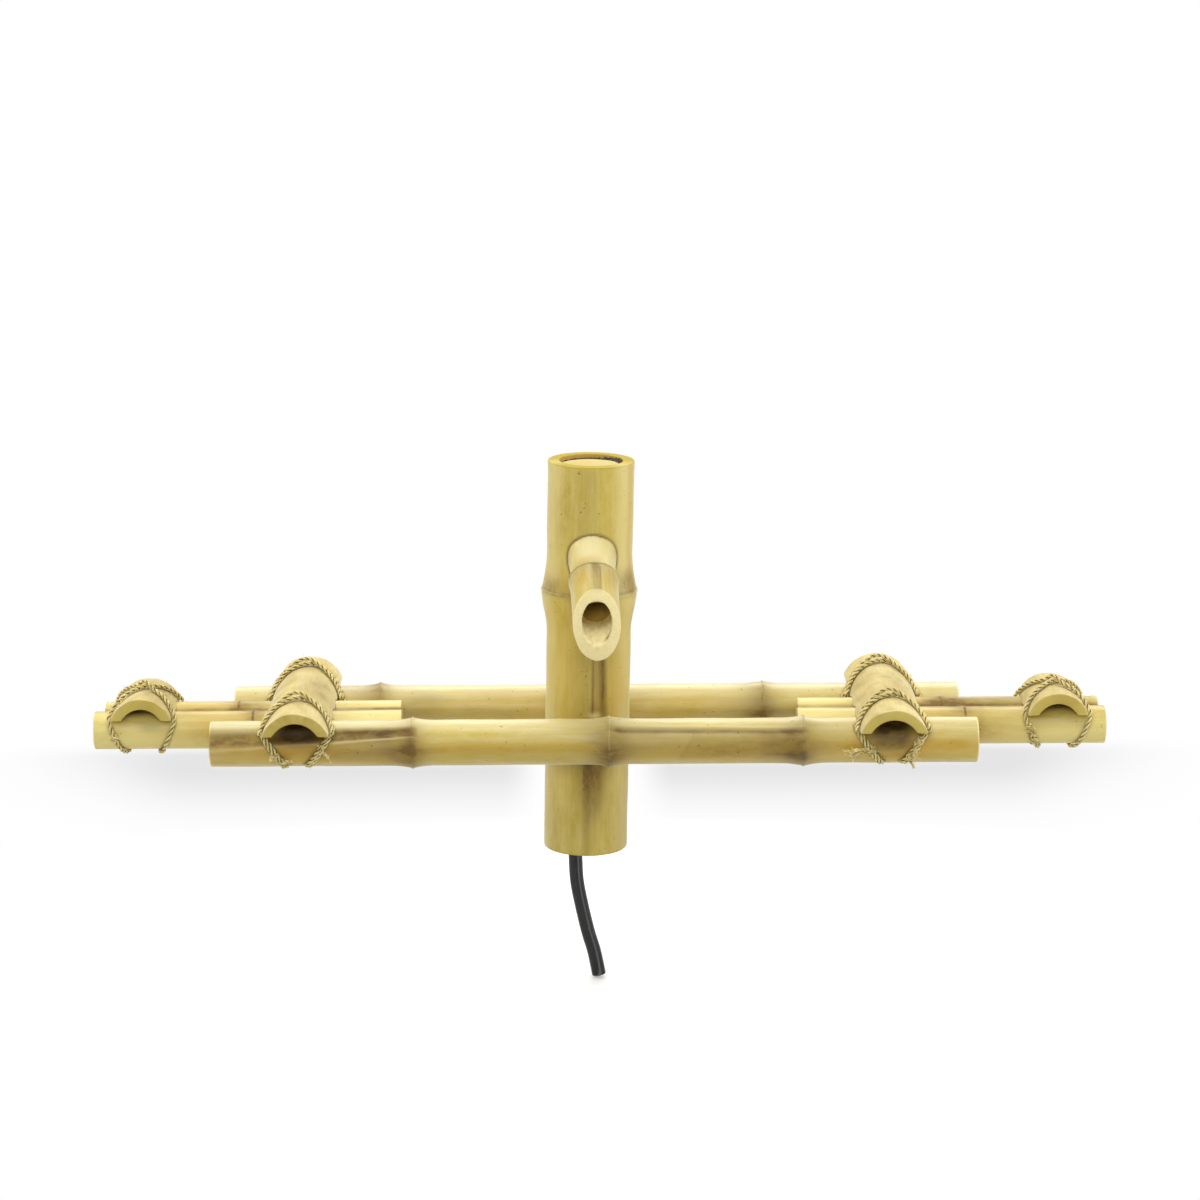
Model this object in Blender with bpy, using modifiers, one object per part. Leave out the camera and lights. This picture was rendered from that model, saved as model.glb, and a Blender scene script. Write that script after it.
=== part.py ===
# Bamboo container fountain: a spout post carried by two poles, with sliding rim arms
# Metres, +Z up. X runs along the poles, the spout points to -Y.
# Z = 0 is the underside of the main poles, where they lie on a container's rim.

import math
from itertools import combinations

import bmesh
import bpy
import numpy as np
from mathutils import Matrix, Vector

# Clearances
TOUCH = 0.0003              # between two pieces that bear on each other
RUN_CLEAR = 0.0009          # round an arm pole where it slides
GROOVE_PROUD = 0.0004       # how far a groove cutter runs past the end of its pole

# Post
POST_LENGTH = 0.355
POST_FOOT_DEPTH = 0.0925    # underside of the post below the rim
POST_LEAN = 1.1             # degrees, top towards +X
POST_RADIUS = 0.0375
POST_TOP_RADIUS = 0.0384
POST_WALL = 0.0092
POST_RING_RADIUS = 0.0428
POST_RING_HEIGHT = 0.2385   # above the underside of the post
POST_FLARE_ABOVE = 0.038
POST_FLARE_BELOW = 0.040
POST_DIAPHRAGM = 0.005
POST_PIVOT_HEIGHT = 0.035
POST_STEPS = 32

# Post plugs
TOP_PLUG_RADIUS = 0.0272
TOP_PLUG_THICKNESS = 0.011
TOP_PLUG_DOME = 0.0030
TOP_PLUG_SINK = 0.0030      # edge of the plug below the rim of the post
TOP_PLUG_EDGE = 0.001
TOP_PLUG_TILT = 3.0
TOP_PLUG_SHIFT = (-0.6, -0.75)  # of the play in the post's mouth, along X and Y
FOOT_PLUG_THICKNESS = 0.012
FOOT_PLUG_SINK = 0.003

# Spout
SPOUT_SLOPE = 31.0
SPOUT_YAW = 4.5
SPOUT_ABOVE_RING = 0.0535   # where the spout's axis crosses the post's, above the ring
SPOUT_ROOT_RADIUS = 0.0199
SPOUT_RING_RADIUS = 0.0224
SPOUT_MOUTH_RADIUS = 0.0209
SPOUT_BORE_RADIUS = 0.0122
SPOUT_MOUTH_BORE_RADIUS = 0.0132
SPOUT_RING_REACH = 0.0675   # ring from the post's axis, along the spout
SPOUT_FLARE = 0.020         # from the ring to where the culm is even again
SPOUT_SHORT_REACH = 0.0982  # short lip from the post's axis, along the spout
SPOUT_CUT_LENGTH = 0.046    # the long lip past the short one
SPOUT_MOUTH_BORE_START = 0.1072
SPOUT_DIAPHRAGM = 0.004
SPOUT_BLANK_ROOT = 0.012    # the culm before it is coped and cut at a slant
SPOUT_BLANK_SPARE = 0.010
SPOUT_CUT_BLOCK = 0.12
SPOUT_STEPS = 28

# Hose
HOSE_RADIUS = 0.00635
HOSE_BEND_RADIUS = 0.025
HOSE_HOLE_CLEAR = 0.0004
HOSE_RISER_BACK = 0.019     # the riser stands this far behind the post's axis
HOSE_FOOT_SIDE = -0.0094    # the hose leaves the foot plug this far to the post's side
HOSE_FOOT_STRAIGHT = 0.030
HOSE_TOP_STRAIGHT = 0.038
HOSE_BEND_START = 0.012     # straight below the bend into the spout
HOSE_NOZZLE = 0.003         # past the spout's diaphragm
HOSE_RISER_SPACING = 0.016
HOSE_TAIL_SPACING = 0.009
HOSE_BEND_POINTS = 8
HOSE_HOLE_STEPS = 24
HOSE_CUT_REACH = 0.010
ROUTE_FINENESS = 24
# Centreline of the free tail, from the foot plug's hole down to its cut end
HOSE_TAIL_ROUTE = (
    (0.0000, 0.0000, 0.0000),
    (0.0002, -0.0003, -0.0152),
    (0.0014, -0.0010, -0.0372),
    (0.0058, -0.0015, -0.0612),
    (0.0112, -0.0015, -0.0852),
    (0.0166, -0.0010, -0.1042),
    (0.0210, 0.0000, -0.1267),
)

# Main poles
FRONT_POLE_RADIUS = 0.0200
REAR_POLE_RADIUS = 0.0208
MAIN_WALL = 0.0070
MAIN_NODE_SWELL = 0.0023
MAIN_NODE_REACH = 0.020
FRONT_POLE_SPAN = (-0.3332, 0.3444)
FRONT_POLE_NODES = (-0.1546, 0.0186, 0.1903)
REAR_POLE_SPAN = (-0.3217, 0.3393)
REAR_POLE_NODES = (-0.1890, 0.1603)
MAIN_STEPS = 24

# Arm poles
ARM_RADIUS = 0.0167
ARM_WALL = 0.0050
ARM_NODE_SWELL = 0.00045
ARM_NODE_REACH = 0.010
ARM_SIDE_GAP = 0.0008       # between the two poles of one arm
ARM_STEPS = 24
ARM_POLES = {
    "left_front_arm_pole": ((-0.4405, -0.1661), -0.2986, -1),
    "left_rear_arm_pole": ((-0.4346, -0.1678), -0.3144, 1),
    "right_front_arm_pole": ((0.1875, 0.4630), 0.3373, -1),
    "right_rear_arm_pole": ((0.1897, 0.4609), 0.3194, 1),
}

# Cut ends and diaphragms of every culm
END_ROUND = 0.0012
DIAPHRAGM_THICKNESS = 0.003
DIAPHRAGM_HOLE_RADIUS = 0.003
SCAR_WIDTH = 0.0016
SCAR_HEIGHT = 0.0004
SLIGHT_SWELL = 0.001        # nodes that swell less than this carry no scar

# Saddles
INNER_SADDLE_RADIUS = 0.0315
INNER_SADDLE_WALL = 0.0090
INNER_SADDLE_RISE = 0.0205
INNER_SADDLE_SPAN = (-0.0950, 0.1030)
INNER_SADDLE_X = {"left": -0.2562, "right": 0.2679}
OUTER_SADDLE_RADIUS = 0.0284
OUTER_SADDLE_WALL = 0.0093
OUTER_SADDLE_RISE = 0.0195
OUTER_SADDLE_SPAN = (-0.0385, 0.0395)
OUTER_SADDLE_X = {"left": -0.3971, "right": 0.4189}
SADDLE_SEAT_DEPTH = 0.0036  # the feet reach this far down past the top of a main pole
OUTER_SEAT_DEPTH = 0.0026
SADDLE_STEPS = 18
SADDLE_EDGE = 0.0008

# Guide slats under the arms
SLAT_THICKNESS = 0.0039
SLAT_WIDTH = 0.060
SLAT_LIFT = 0.0005          # underside of the slat above the rim
SLAT_OVERHANG = 0.0034      # past the axis of each main pole

# Pegs and dowels
PEG_RADIUS = 0.0040
PEG_LENGTH = 0.0220
PEG_HEIGHT = 0.020
PEG_INWARD = 0.0015         # the peg's middle lies this far inside the post's face
PEG_HOLE_SPARE = 0.002
DOWEL_RADIUS = 0.0030
DOWEL_LENGTH = 0.0160
DOWEL_INSET = 0.0240        # from the inner end of the arm
PEG_STEPS = 16

# Rope
ROPE_RADIUS = 0.00185
ROPE_SEAT = 0.0006          # between the rope's centre tube and what it lies on
ROPE_SELF_GAP = 0.0004
STRAND_PITCH = 0.0053
STRAND_SPREAD = 0.0040
LASH_HOLE_RADIUS = 0.0053
LASH_TOP_BACK = 0.008       # the crossing lies this far behind the pole's axis
LASH_FOOT_FORWARD = 0.0198  # the strands pass the feet this far in front of it
LEG_PITCH = 0.0058
LEG_SLACK = (0.0060, 0.0004)    # inner and outer strand off the pole at the saddle's foot
CROSS_LIFT = 0.0050
CROSS_SPREAD = 0.25
ARCH_POINTS = 11
LEG_POINTS = 4
# Where the inner strands enter the pole: angle, distance from the saddle's middle, bow
FRONT_LASH_ENTRY = (-46.0, 0.0085, 1.0)
REAR_LASH_ENTRY = (14.0, 0.0295, 2.5)
LASH_HOLE_DIP = 5.0         # degrees, from the entry's angle down into the pole
LASH_HOLE_SPARE = 0.002
LASH_HOLE_PROUD = 0.006
INNER_STRAND_IN = 0.0005    # strand ends past the pole's wall
OUTER_STRAND_IN = 0.0048
LASH_MEET_DEPTH = 0.0040    # the two turns meet this far in front of the pole's axis
LASH_MEET_SHARE = 0.6
OUTER_LASH_BOTTOM = 0.0140
OUTER_LASH_FOOT = 38.0      # degrees round the arm pole where the strand leaves the saddle
OUTER_DOWN_START = 25.0
OUTER_DOWN_POINTS = 6
OUTER_END_GAP = 0.006

# Bud grooves: angle from the top towards -Y, depth, cutter radius at both ends
FRONT_LEFT_GROOVE = ((-0.3332, 12.0, 0.0058, 0.018), (-0.1680, 46.0, 0.0004, 0.006))
FRONT_MID_GROOVE = ((0.0280, 44.0, 0.0014, 0.007), (0.1860, 38.0, 0.0002, 0.006))
POST_GROOVE_X = 0.0050
POST_GROOVE_DEPTH = 0.0016
POST_GROOVE_WIDTH = 0.0070
POST_GROOVE_TOP = 0.106
POST_GROOVE_FOOT = 0.030

# Places that follow from the sizes above
FRONT_POLE_Y = -(POST_RADIUS + TOUCH + FRONT_POLE_RADIUS)
REAR_POLE_Y = POST_RADIUS + TOUCH + REAR_POLE_RADIUS
ARM_Y = ARM_RADIUS + ARM_SIDE_GAP / 2
SLAT_TOP = SLAT_LIFT + SLAT_THICKNESS
ARM_Z = SLAT_TOP + RUN_CLEAR + ARM_RADIUS
FOOT_SEAT_Z = 2 * FRONT_POLE_RADIUS - SADDLE_SEAT_DEPTH
SADDLE_TILT = math.atan2(2 * (REAR_POLE_RADIUS - FRONT_POLE_RADIUS),
                         REAR_POLE_Y - FRONT_POLE_Y)
POST_BORE = POST_RADIUS - POST_WALL
ROPE_OFFSET = ROPE_RADIUS + ROPE_SEAT


def clear_scene():
    for old in list(bpy.data.objects):
        bpy.data.objects.remove(old, do_unlink=True)


def new_collection(name):
    group = bpy.data.collections.new(name)
    bpy.context.scene.collection.children.link(group)
    return group


clear_scene()
PARTS = new_collection("bamboo_fountain")
CUTTERS = new_collection("cutters")


# Materials

def material(name, colour, roughness, metallic=0.0):
    mat = bpy.data.materials.new(name)
    mat.use_nodes = True
    shader = mat.node_tree.nodes["Principled BSDF"]
    shader.inputs["Base Color"].default_value = (*colour, 1.0)
    shader.inputs["Roughness"].default_value = roughness
    shader.inputs["Metallic"].default_value = metallic
    return mat


def dressed(obj, colour, roughness):
    obj.data.materials.append(material(obj.name, colour, roughness))
    return obj


POST_COLOUR = (0.50, 0.38, 0.10)
POLE_COLOUR = (0.62, 0.47, 0.16)
ARM_COLOUR = (0.66, 0.50, 0.19)
SADDLE_COLOUR = (0.60, 0.49, 0.20)
PLUG_COLOUR = (0.78, 0.66, 0.36)
ROPE_COLOUR = (0.48, 0.37, 0.15)
PEG_COLOUR = (0.55, 0.42, 0.20)
HOSE_COLOUR = (0.012, 0.012, 0.013)


# Mesh helpers

def mesh_object(name, mesh, group=None):
    obj = bpy.data.objects.new(name, mesh)
    (group or PARTS).objects.link(obj)
    return obj


def as_cutter(obj):
    obj.display_type = "WIRE"
    obj.hide_render = True
    return obj


def turned(name, profile, steps, closed, group=None):
    """A profile of (radius, height) pairs turned about the local Z axis."""
    mesh = bpy.data.meshes.new(name)
    count = len(profile)
    edges = [(i, i + 1) for i in range(count - 1)]
    if closed:
        edges.append((count - 1, 0))
    mesh.from_pydata([(r, 0.0, z) for r, z in profile], edges, [])
    obj = mesh_object(name, mesh, group)
    screw = obj.modifiers.new("turn", "SCREW")
    screw.axis = "Z"
    screw.steps = steps
    screw.render_steps = steps
    screw.use_merge_vertices = True
    screw.merge_threshold = 0.00001
    screw.use_smooth_shade = True
    return obj


def cylinder(name, radius, length, steps, group=None):
    mesh = bpy.data.meshes.new(name)
    bm = bmesh.new()
    bmesh.ops.create_cone(bm, cap_ends=True, segments=steps, radius1=radius,
                          radius2=radius, depth=length)
    bm.to_mesh(mesh)
    bm.free()
    mesh.shade_smooth()
    mesh.set_sharp_from_angle(angle=math.radians(40))
    return mesh_object(name, mesh, group)


def box(name, low, high, group=None):
    mesh = bpy.data.meshes.new(name)
    bm = bmesh.new()
    bmesh.ops.create_cube(bm, size=1.0)
    size = [b - a for a, b in zip(low, high)]
    middle = [(a + b) / 2 for a, b in zip(low, high)]
    bmesh.ops.scale(bm, vec=size, verts=bm.verts)
    bmesh.ops.translate(bm, vec=middle, verts=bm.verts)
    bm.to_mesh(mesh)
    bm.free()
    return mesh_object(name, mesh, group)


def aim(obj, start, end):
    """Puts a shape made along local Z between two points."""
    start = Vector(start)
    end = Vector(end)
    obj.location = (start + end) / 2
    obj.rotation_euler = (end - start).to_track_quat("Z", "Y").to_euler()
    return obj


def cut(obj, cutter):
    hole = obj.modifiers.new("cut_" + cutter.name, "BOOLEAN")
    hole.operation = "DIFFERENCE"
    hole.solver = "EXACT"
    hole.object = cutter


def rod_cutter(name, start, end, radius, steps=PEG_STEPS):
    length = (Vector(end) - Vector(start)).length
    rod = cylinder(name, radius, length, steps, CUTTERS)
    aim(rod, start, end)
    return as_cutter(rod)


def tube(name, points, radius, resolution):
    """A round tube with filled caps along a chain of points."""
    curve = bpy.data.curves.new(name, "CURVE")
    curve.dimensions = "3D"
    curve.bevel_depth = radius
    curve.bevel_resolution = resolution
    curve.use_fill_caps = True
    spline = curve.splines.new("POLY")
    spline.points.add(len(points) - 1)
    for knot, place in zip(spline.points, points):
        knot.co = (*place, 1.0)
    obj = bpy.data.objects.new(name, curve)
    PARTS.objects.link(obj)
    return obj


def smooth_route(route, spacing):
    """Even points on a Catmull-Rom curve through a route's own points."""
    knots = [Vector(p) for p in route]
    knots = [2 * knots[0] - knots[1]] + knots + [2 * knots[-1] - knots[-2]]
    fine = []
    for a, b, c, d in zip(knots, knots[1:], knots[2:], knots[3:]):
        for i in range(ROUTE_FINENESS):
            t = i / ROUTE_FINENESS
            fine.append(0.5 * (2 * b + (c - a) * t + (2 * a - 5 * b + 4 * c - d) * t * t
                               + (3 * b - a - 3 * c + d) * t ** 3))
    fine.append(knots[-2])
    steps = [(q - p).length for p, q in zip(fine, fine[1:])]
    run = np.concatenate(([0.0], np.cumsum(steps)))
    count = max(4, round(run[-1] / spacing))
    wanted = np.linspace(0.0, run[-1], count + 1)
    spots = np.array([list(p) for p in fine])
    return [tuple(np.interp(w, run, spots[:, k]) for k in range(3)) for w in wanted]


# Culm profiles

def node_swell(distance, swell, reach):
    """Extra radius of a culm at a distance from one of its nodes."""
    if abs(distance) >= reach:
        return 0.0
    return swell * (1 - abs(distance) / reach) ** 2


def node_stations(place, swell, reach):
    if swell < SLIGHT_SWELL:
        return [place + reach * s for s in (-1.0, -0.4, 0.0, 0.4, 1.0)]
    half = SCAR_WIDTH / 2
    stations = [place + reach * s for s in (-1.0, -0.55, -0.2, 0.2, 0.55, 1.0)]
    return stations + [place - half, place + half]


def pole_profile(span, radius, wall, nodes, swell, reach):
    """Closed section of a hollow culm along its axis, with pierced diaphragms."""
    low, high = span
    heights = [low + END_ROUND, high - END_ROUND]
    for place in nodes:
        heights += [h for h in node_stations(place, swell, reach)
                    if low + END_ROUND < h < high - END_ROUND]
    outer = []
    for h in sorted(heights, reverse=True):
        extra = sum(node_swell(h - n, swell, reach) for n in nodes)
        if swell > SLIGHT_SWELL and any(abs(h - n) < SCAR_WIDTH for n in nodes):
            extra += SCAR_HEIGHT
        outer.append((radius + extra, h))
    edge = radius - END_ROUND
    bore = radius - wall
    profile = [(bore, high), (edge, high)] + outer + [(edge, low), (bore, low)]
    half = DIAPHRAGM_THICKNESS / 2
    for place in sorted(nodes):
        profile += [(bore, place - half), (DIAPHRAGM_HOLE_RADIUS, place - half),
                    (DIAPHRAGM_HOLE_RADIUS, place + half), (bore, place + half)]
    return profile


def pole(name, span, radius, wall, nodes, swell, reach, steps, y, z):
    obj = turned(name, pole_profile(span, radius, wall, nodes, swell, reach), steps, True)
    obj.rotation_euler = (0.0, math.pi / 2, 0.0)
    obj.location = (0.0, y, z)
    return obj


def post_radius(height, grow=0.0):
    """Outer radius of the post at a height above its foot."""
    above = height - POST_RING_HEIGHT
    share = height / POST_LENGTH
    base = POST_RADIUS + (POST_TOP_RADIUS - POST_RADIUS) * max(0.0, 2 * share - 1) + grow
    swell = POST_RING_RADIUS - SCAR_HEIGHT - POST_RADIUS
    if above > 0:
        return base + node_swell(above, swell, POST_FLARE_ABOVE)
    fall = min(1.0, -above / POST_FLARE_BELOW)
    return base + swell * 0.5 * (1 + math.cos(math.pi * fall))


def post_outline(grow=0.0):
    """Outer side of the post from its top to its foot."""
    shares = (1.0, 0.75, 0.5, 0.25, 0.1)
    heights = [POST_RING_HEIGHT + POST_FLARE_ABOVE * s for s in shares]
    heights += [POST_RING_HEIGHT - POST_FLARE_BELOW * s for s in reversed(shares)]
    heights += [POST_LENGTH - END_ROUND, END_ROUND]
    points = [(post_radius(h, grow), h) for h in heights]
    half = SCAR_WIDTH / 2
    points += [(POST_RING_RADIUS + grow, POST_RING_HEIGHT + half),
               (POST_RING_RADIUS + grow, POST_RING_HEIGHT - half),
               (post_radius(POST_RING_HEIGHT + half + 0.0008, grow),
                POST_RING_HEIGHT + half + 0.0008)]
    return sorted(points, key=lambda p: -p[1])


# Post, with everything that leans with it

def make_post_axis():
    axis = bpy.data.objects.new("post_axis", None)
    PARTS.objects.link(axis)
    axis.location = (0.0, 0.0, POST_PIVOT_HEIGHT)
    axis.rotation_euler = (0.0, math.radians(POST_LEAN), 0.0)
    return axis


def on_post(obj, height):
    """Stands a shape on the leaning axis, at a height above the post's foot."""
    obj.parent = POST_AXIS
    obj.location = (0.0, 0.0, height - POST_FOOT_DEPTH - POST_PIVOT_HEIGHT)
    return obj


def make_post():
    top = POST_LENGTH
    ring = POST_RING_HEIGHT
    half = POST_DIAPHRAGM / 2
    profile = [(0.0, ring + half), (POST_BORE, ring + half), (POST_BORE, top),
               (POST_TOP_RADIUS - END_ROUND, top)]
    profile += post_outline()
    profile += [(POST_RADIUS - END_ROUND, 0.0), (POST_BORE, 0.0),
                (POST_BORE, ring - half), (0.0, ring - half)]
    post = on_post(turned("post_culm", profile, POST_STEPS, False), 0.0)
    groove_length = POST_GROOVE_TOP - POST_GROOVE_FOOT
    groove = ellipsoid("post_groove", groove_length / 2, POST_GROOVE_WIDTH)
    groove.rotation_euler = (0.0, math.pi / 2, 0.0)
    groove.location = (POST_GROOVE_X, -(POST_RADIUS + POST_GROOVE_WIDTH - POST_GROOVE_DEPTH),
                       (POST_GROOVE_TOP + POST_GROOVE_FOOT) / 2)
    cut(post, groove)
    return dressed(post, POST_COLOUR, 0.5)


def ellipsoid(name, half_length, radius):
    mesh = bpy.data.meshes.new(name)
    bm = bmesh.new()
    bmesh.ops.create_uvsphere(bm, u_segments=16, v_segments=14, radius=1.0)
    bmesh.ops.rotate(bm, cent=(0, 0, 0), matrix=Matrix.Rotation(math.pi / 2, 3, "Y"),
                     verts=bm.verts)
    bmesh.ops.scale(bm, vec=(half_length, radius, radius), verts=bm.verts)
    bm.to_mesh(mesh)
    bm.free()
    return as_cutter(mesh_object(name, mesh, CUTTERS))


def make_top_plug():
    """A domed disc pressed into the post's mouth, off centre and a little tilted."""
    radius = TOP_PLUG_RADIUS
    dome = [(radius * math.sin(a), TOP_PLUG_DOME * math.cos(a))
            for a in np.linspace(0.0, math.pi / 2, 5)]
    profile = dome + [(radius, TOP_PLUG_EDGE - TOP_PLUG_THICKNESS),
                      (radius - TOP_PLUG_EDGE, -TOP_PLUG_THICKNESS),
                      (0.0, -TOP_PLUG_THICKNESS)]
    plug = on_post(turned("post_top_plug", profile, POST_STEPS, False),
                   POST_LENGTH - TOP_PLUG_SINK)
    lean = math.radians(TOP_PLUG_TILT)
    swing = TOP_PLUG_THICKNESS * math.sin(lean)
    play = POST_BORE - radius - 3 * TOUCH - swing
    plug.location.x += play * TOP_PLUG_SHIFT[0]
    plug.location.y += play * TOP_PLUG_SHIFT[1]
    plug.rotation_euler = (-lean, 0.0, 0.0)
    return dressed(plug, PLUG_COLOUR, 0.7)


def make_foot_plug():
    """The disc in the post's foot that the hose comes out of."""
    plug = cylinder("post_foot_plug", POST_BORE - 2 * TOUCH, FOOT_PLUG_THICKNESS, POST_STEPS)
    on_post(plug, FOOT_PLUG_SINK + FOOT_PLUG_THICKNESS / 2)
    return dressed(plug, PEG_COLOUR, 0.8)


# Spout

def spout_frame():
    """Start on the post's axis, direction and upward normal of the spout."""
    lean = math.radians(POST_LEAN)
    height = POST_RING_HEIGHT - POST_FOOT_DEPTH + SPOUT_ABOVE_RING
    start = Vector(((height - POST_PIVOT_HEIGHT) * math.tan(lean), 0.0, height))
    slope = math.radians(SPOUT_SLOPE)
    yaw = math.radians(SPOUT_YAW)
    out = Vector((math.sin(yaw) * math.cos(slope), -math.cos(yaw) * math.cos(slope),
                  -math.sin(slope)))
    side = out.cross(Vector((0, 0, 1))).normalized()
    return start, out, side.cross(out)


def make_spout():
    """A short culm coped to the post, its mouth cut at a slant."""
    root = SPOUT_BLANK_ROOT
    tip = SPOUT_SHORT_REACH + SPOUT_CUT_LENGTH + SPOUT_BLANK_SPARE
    ring = SPOUT_RING_REACH
    half = SCAR_WIDTH / 2
    bore = SPOUT_BORE_RADIUS
    mouth = SPOUT_MOUTH_BORE_START
    outer = [(SPOUT_MOUTH_RADIUS, tip)]
    for share in (1.0, 0.5, 0.1):
        swell = node_swell(share, SPOUT_RING_RADIUS - SCAR_HEIGHT - SPOUT_MOUTH_RADIUS, 1.0)
        outer.append((SPOUT_MOUTH_RADIUS + swell, ring + SPOUT_FLARE * share))
    outer += [(SPOUT_RING_RADIUS, ring + half), (SPOUT_RING_RADIUS, ring - half)]
    for share in (0.1, 0.25, 0.5, 1.0):
        swell = node_swell(share, SPOUT_RING_RADIUS - SCAR_HEIGHT - SPOUT_ROOT_RADIUS, 1.0)
        outer.append((SPOUT_ROOT_RADIUS + swell, ring - SPOUT_FLARE * share))
    outer.append((SPOUT_ROOT_RADIUS, root))
    disc = SPOUT_DIAPHRAGM / 2
    hole = HOSE_RADIUS + HOSE_HOLE_CLEAR
    inner = [(bore, root), (bore, ring - disc), (hole, ring - disc), (hole, ring + disc),
             (bore, ring + disc), (bore, mouth), (SPOUT_MOUTH_BORE_RADIUS, mouth),
             (SPOUT_MOUTH_BORE_RADIUS, tip)]
    spout = turned("spout_culm", outer + inner, SPOUT_STEPS, True)
    start, out, up = spout_frame()
    side = out.cross(up)
    turn = Matrix((side, up, out)).transposed()
    if turn.determinant() < 0:
        turn = Matrix((-side, up, out)).transposed()
    spout.location = start
    spout.rotation_euler = turn.to_euler()
    cut(spout, post_cutter())
    cut(spout, mouth_cutter(start, out, up))
    return dressed(spout, POLE_COLOUR, 0.45)


def post_cutter():
    """The post's outer form grown by a touch, to cope the spout's root."""
    profile = [(0.0, POST_LENGTH)] + post_outline(TOUCH) + [(0.0, 0.0)]
    form = turned("spout_cope", profile, POST_STEPS, False, CUTTERS)
    return as_cutter(on_post(form, 0.0))


def mouth_cutter(start, out, up):
    """A block whose lower face is the slanted cut of the mouth."""
    short = start + out * SPOUT_SHORT_REACH + up * SPOUT_MOUTH_RADIUS
    long = start + out * (SPOUT_SHORT_REACH + SPOUT_CUT_LENGTH) - up * SPOUT_MOUTH_RADIUS
    along = (long - short).normalized()
    across = out.cross(up).normalized()
    away = across.cross(along)
    if away.dot(out) < 0:
        away = -away
    half = SPOUT_CUT_BLOCK / 2
    block = box("mouth_cut", (-half, -half, 0.0), (half, half, SPOUT_CUT_BLOCK), CUTTERS)
    turn = Matrix((along, away.cross(along), away)).transposed()
    block.rotation_euler = turn.to_euler()
    block.location = (short + long) / 2
    return as_cutter(block)


# Hose

def hose_foot():
    """Where the hose passes the lower face of the foot plug."""
    z = FOOT_PLUG_SINK - POST_FOOT_DEPTH
    lean = (z - POST_PIVOT_HEIGHT) * math.tan(math.radians(POST_LEAN))
    return Vector((HOSE_FOOT_SIDE + lean, 0.0, z))


def hose_bend():
    """Plane of the hose's bend: the spout's frame and where the upright riser ends."""
    start, out, _ = spout_frame()
    turn_angle = math.radians(90.0 + SPOUT_SLOPE)
    flat = Vector((out.x, out.y, 0.0)).normalized()
    centre_back = HOSE_RISER_BACK - HOSE_BEND_RADIUS
    end_back = centre_back + HOSE_BEND_RADIUS * math.cos(turn_angle)
    end_z = start.z + end_back * math.tan(math.radians(SPOUT_SLOPE))
    riser = start - flat * HOSE_RISER_BACK
    riser.z = end_z - HOSE_BEND_RADIUS * math.sin(turn_angle)
    return start, out, flat, turn_angle, riser


def riser_points():
    """The hose inside the post: up from its foot, over a bend and out to the spout."""
    start, out, flat, turn_angle, riser = hose_bend()
    low = hose_foot()
    route = [low, low + Vector((0.0, 0.0, HOSE_FOOT_STRAIGHT))]
    for share in (0.35, 0.60):
        blend = share * share * (3 - 2 * share)
        spot = low.lerp(riser, blend)
        spot.z = low.z + (riser.z - low.z) * share
        route.append(spot)
    straight_top = riser.z - HOSE_BEND_START
    route += [(riser.x, riser.y, straight_top - HOSE_TOP_STRAIGHT),
              (riser.x, riser.y, straight_top)]
    points = smooth_route(route, HOSE_RISER_SPACING)
    for angle in np.linspace(0.0, turn_angle, HOSE_BEND_POINTS):
        spot = riser + flat * HOSE_BEND_RADIUS * (1 - math.cos(angle))
        spot.z += HOSE_BEND_RADIUS * math.sin(angle)
        points.append(tuple(spot))
    last = start + out * (SPOUT_RING_REACH + SPOUT_DIAPHRAGM / 2 + HOSE_NOZZLE)
    first = Vector(points[-1])
    points += [tuple(first.lerp(last, step / 3)) for step in (1, 2, 3)]
    return points


def make_hose():
    supply = tube("supply_hose", riser_points(), HOSE_RADIUS, 2)
    supply.data.materials.append(material("supply_hose", HOSE_COLOUR, 0.25))
    outlet = hose_foot() - Vector((0.0, 0.0, TOUCH))
    route = [outlet + Vector(offset) for offset in HOSE_TAIL_ROUTE]
    tail = tube("hose_tail", smooth_route(route, HOSE_TAIL_SPACING), HOSE_RADIUS, 3)
    tail.data.materials.append(material("hose_tail", HOSE_COLOUR, 0.2))


def cut_hose_ways(post, foot_plug):
    """Holes for the hose in the foot plug, the post's diaphragm and its wall."""
    start, out, _, _, riser = hose_bend()
    radius = HOSE_RADIUS + HOSE_HOLE_CLEAR
    outlet = rod_cutter("hose_outlet", start, start + out * (SPOUT_RING_REACH * 0.8),
                        radius, HOSE_HOLE_STEPS)
    cut(post, outlet)
    ring = POST_RING_HEIGHT - POST_FOOT_DEPTH
    passage = rod_cutter("diaphragm_passage", (riser.x, riser.y, ring - HOSE_CUT_REACH),
                         (riser.x, riser.y, ring + HOSE_CUT_REACH), radius, HOSE_HOLE_STEPS)
    cut(post, passage)
    foot = hose_foot()
    foot_hole = rod_cutter("foot_hole", (foot.x, foot.y, foot.z - HOSE_CUT_REACH),
                           (foot.x, foot.y, foot.z + FOOT_PLUG_THICKNESS + HOSE_CUT_REACH),
                           radius, HOSE_HOLE_STEPS)
    cut(foot_plug, foot_hole)


# Saddles

def saddle_centre(seat_z, radius, rise):
    return seat_z - (radius - rise)


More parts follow.
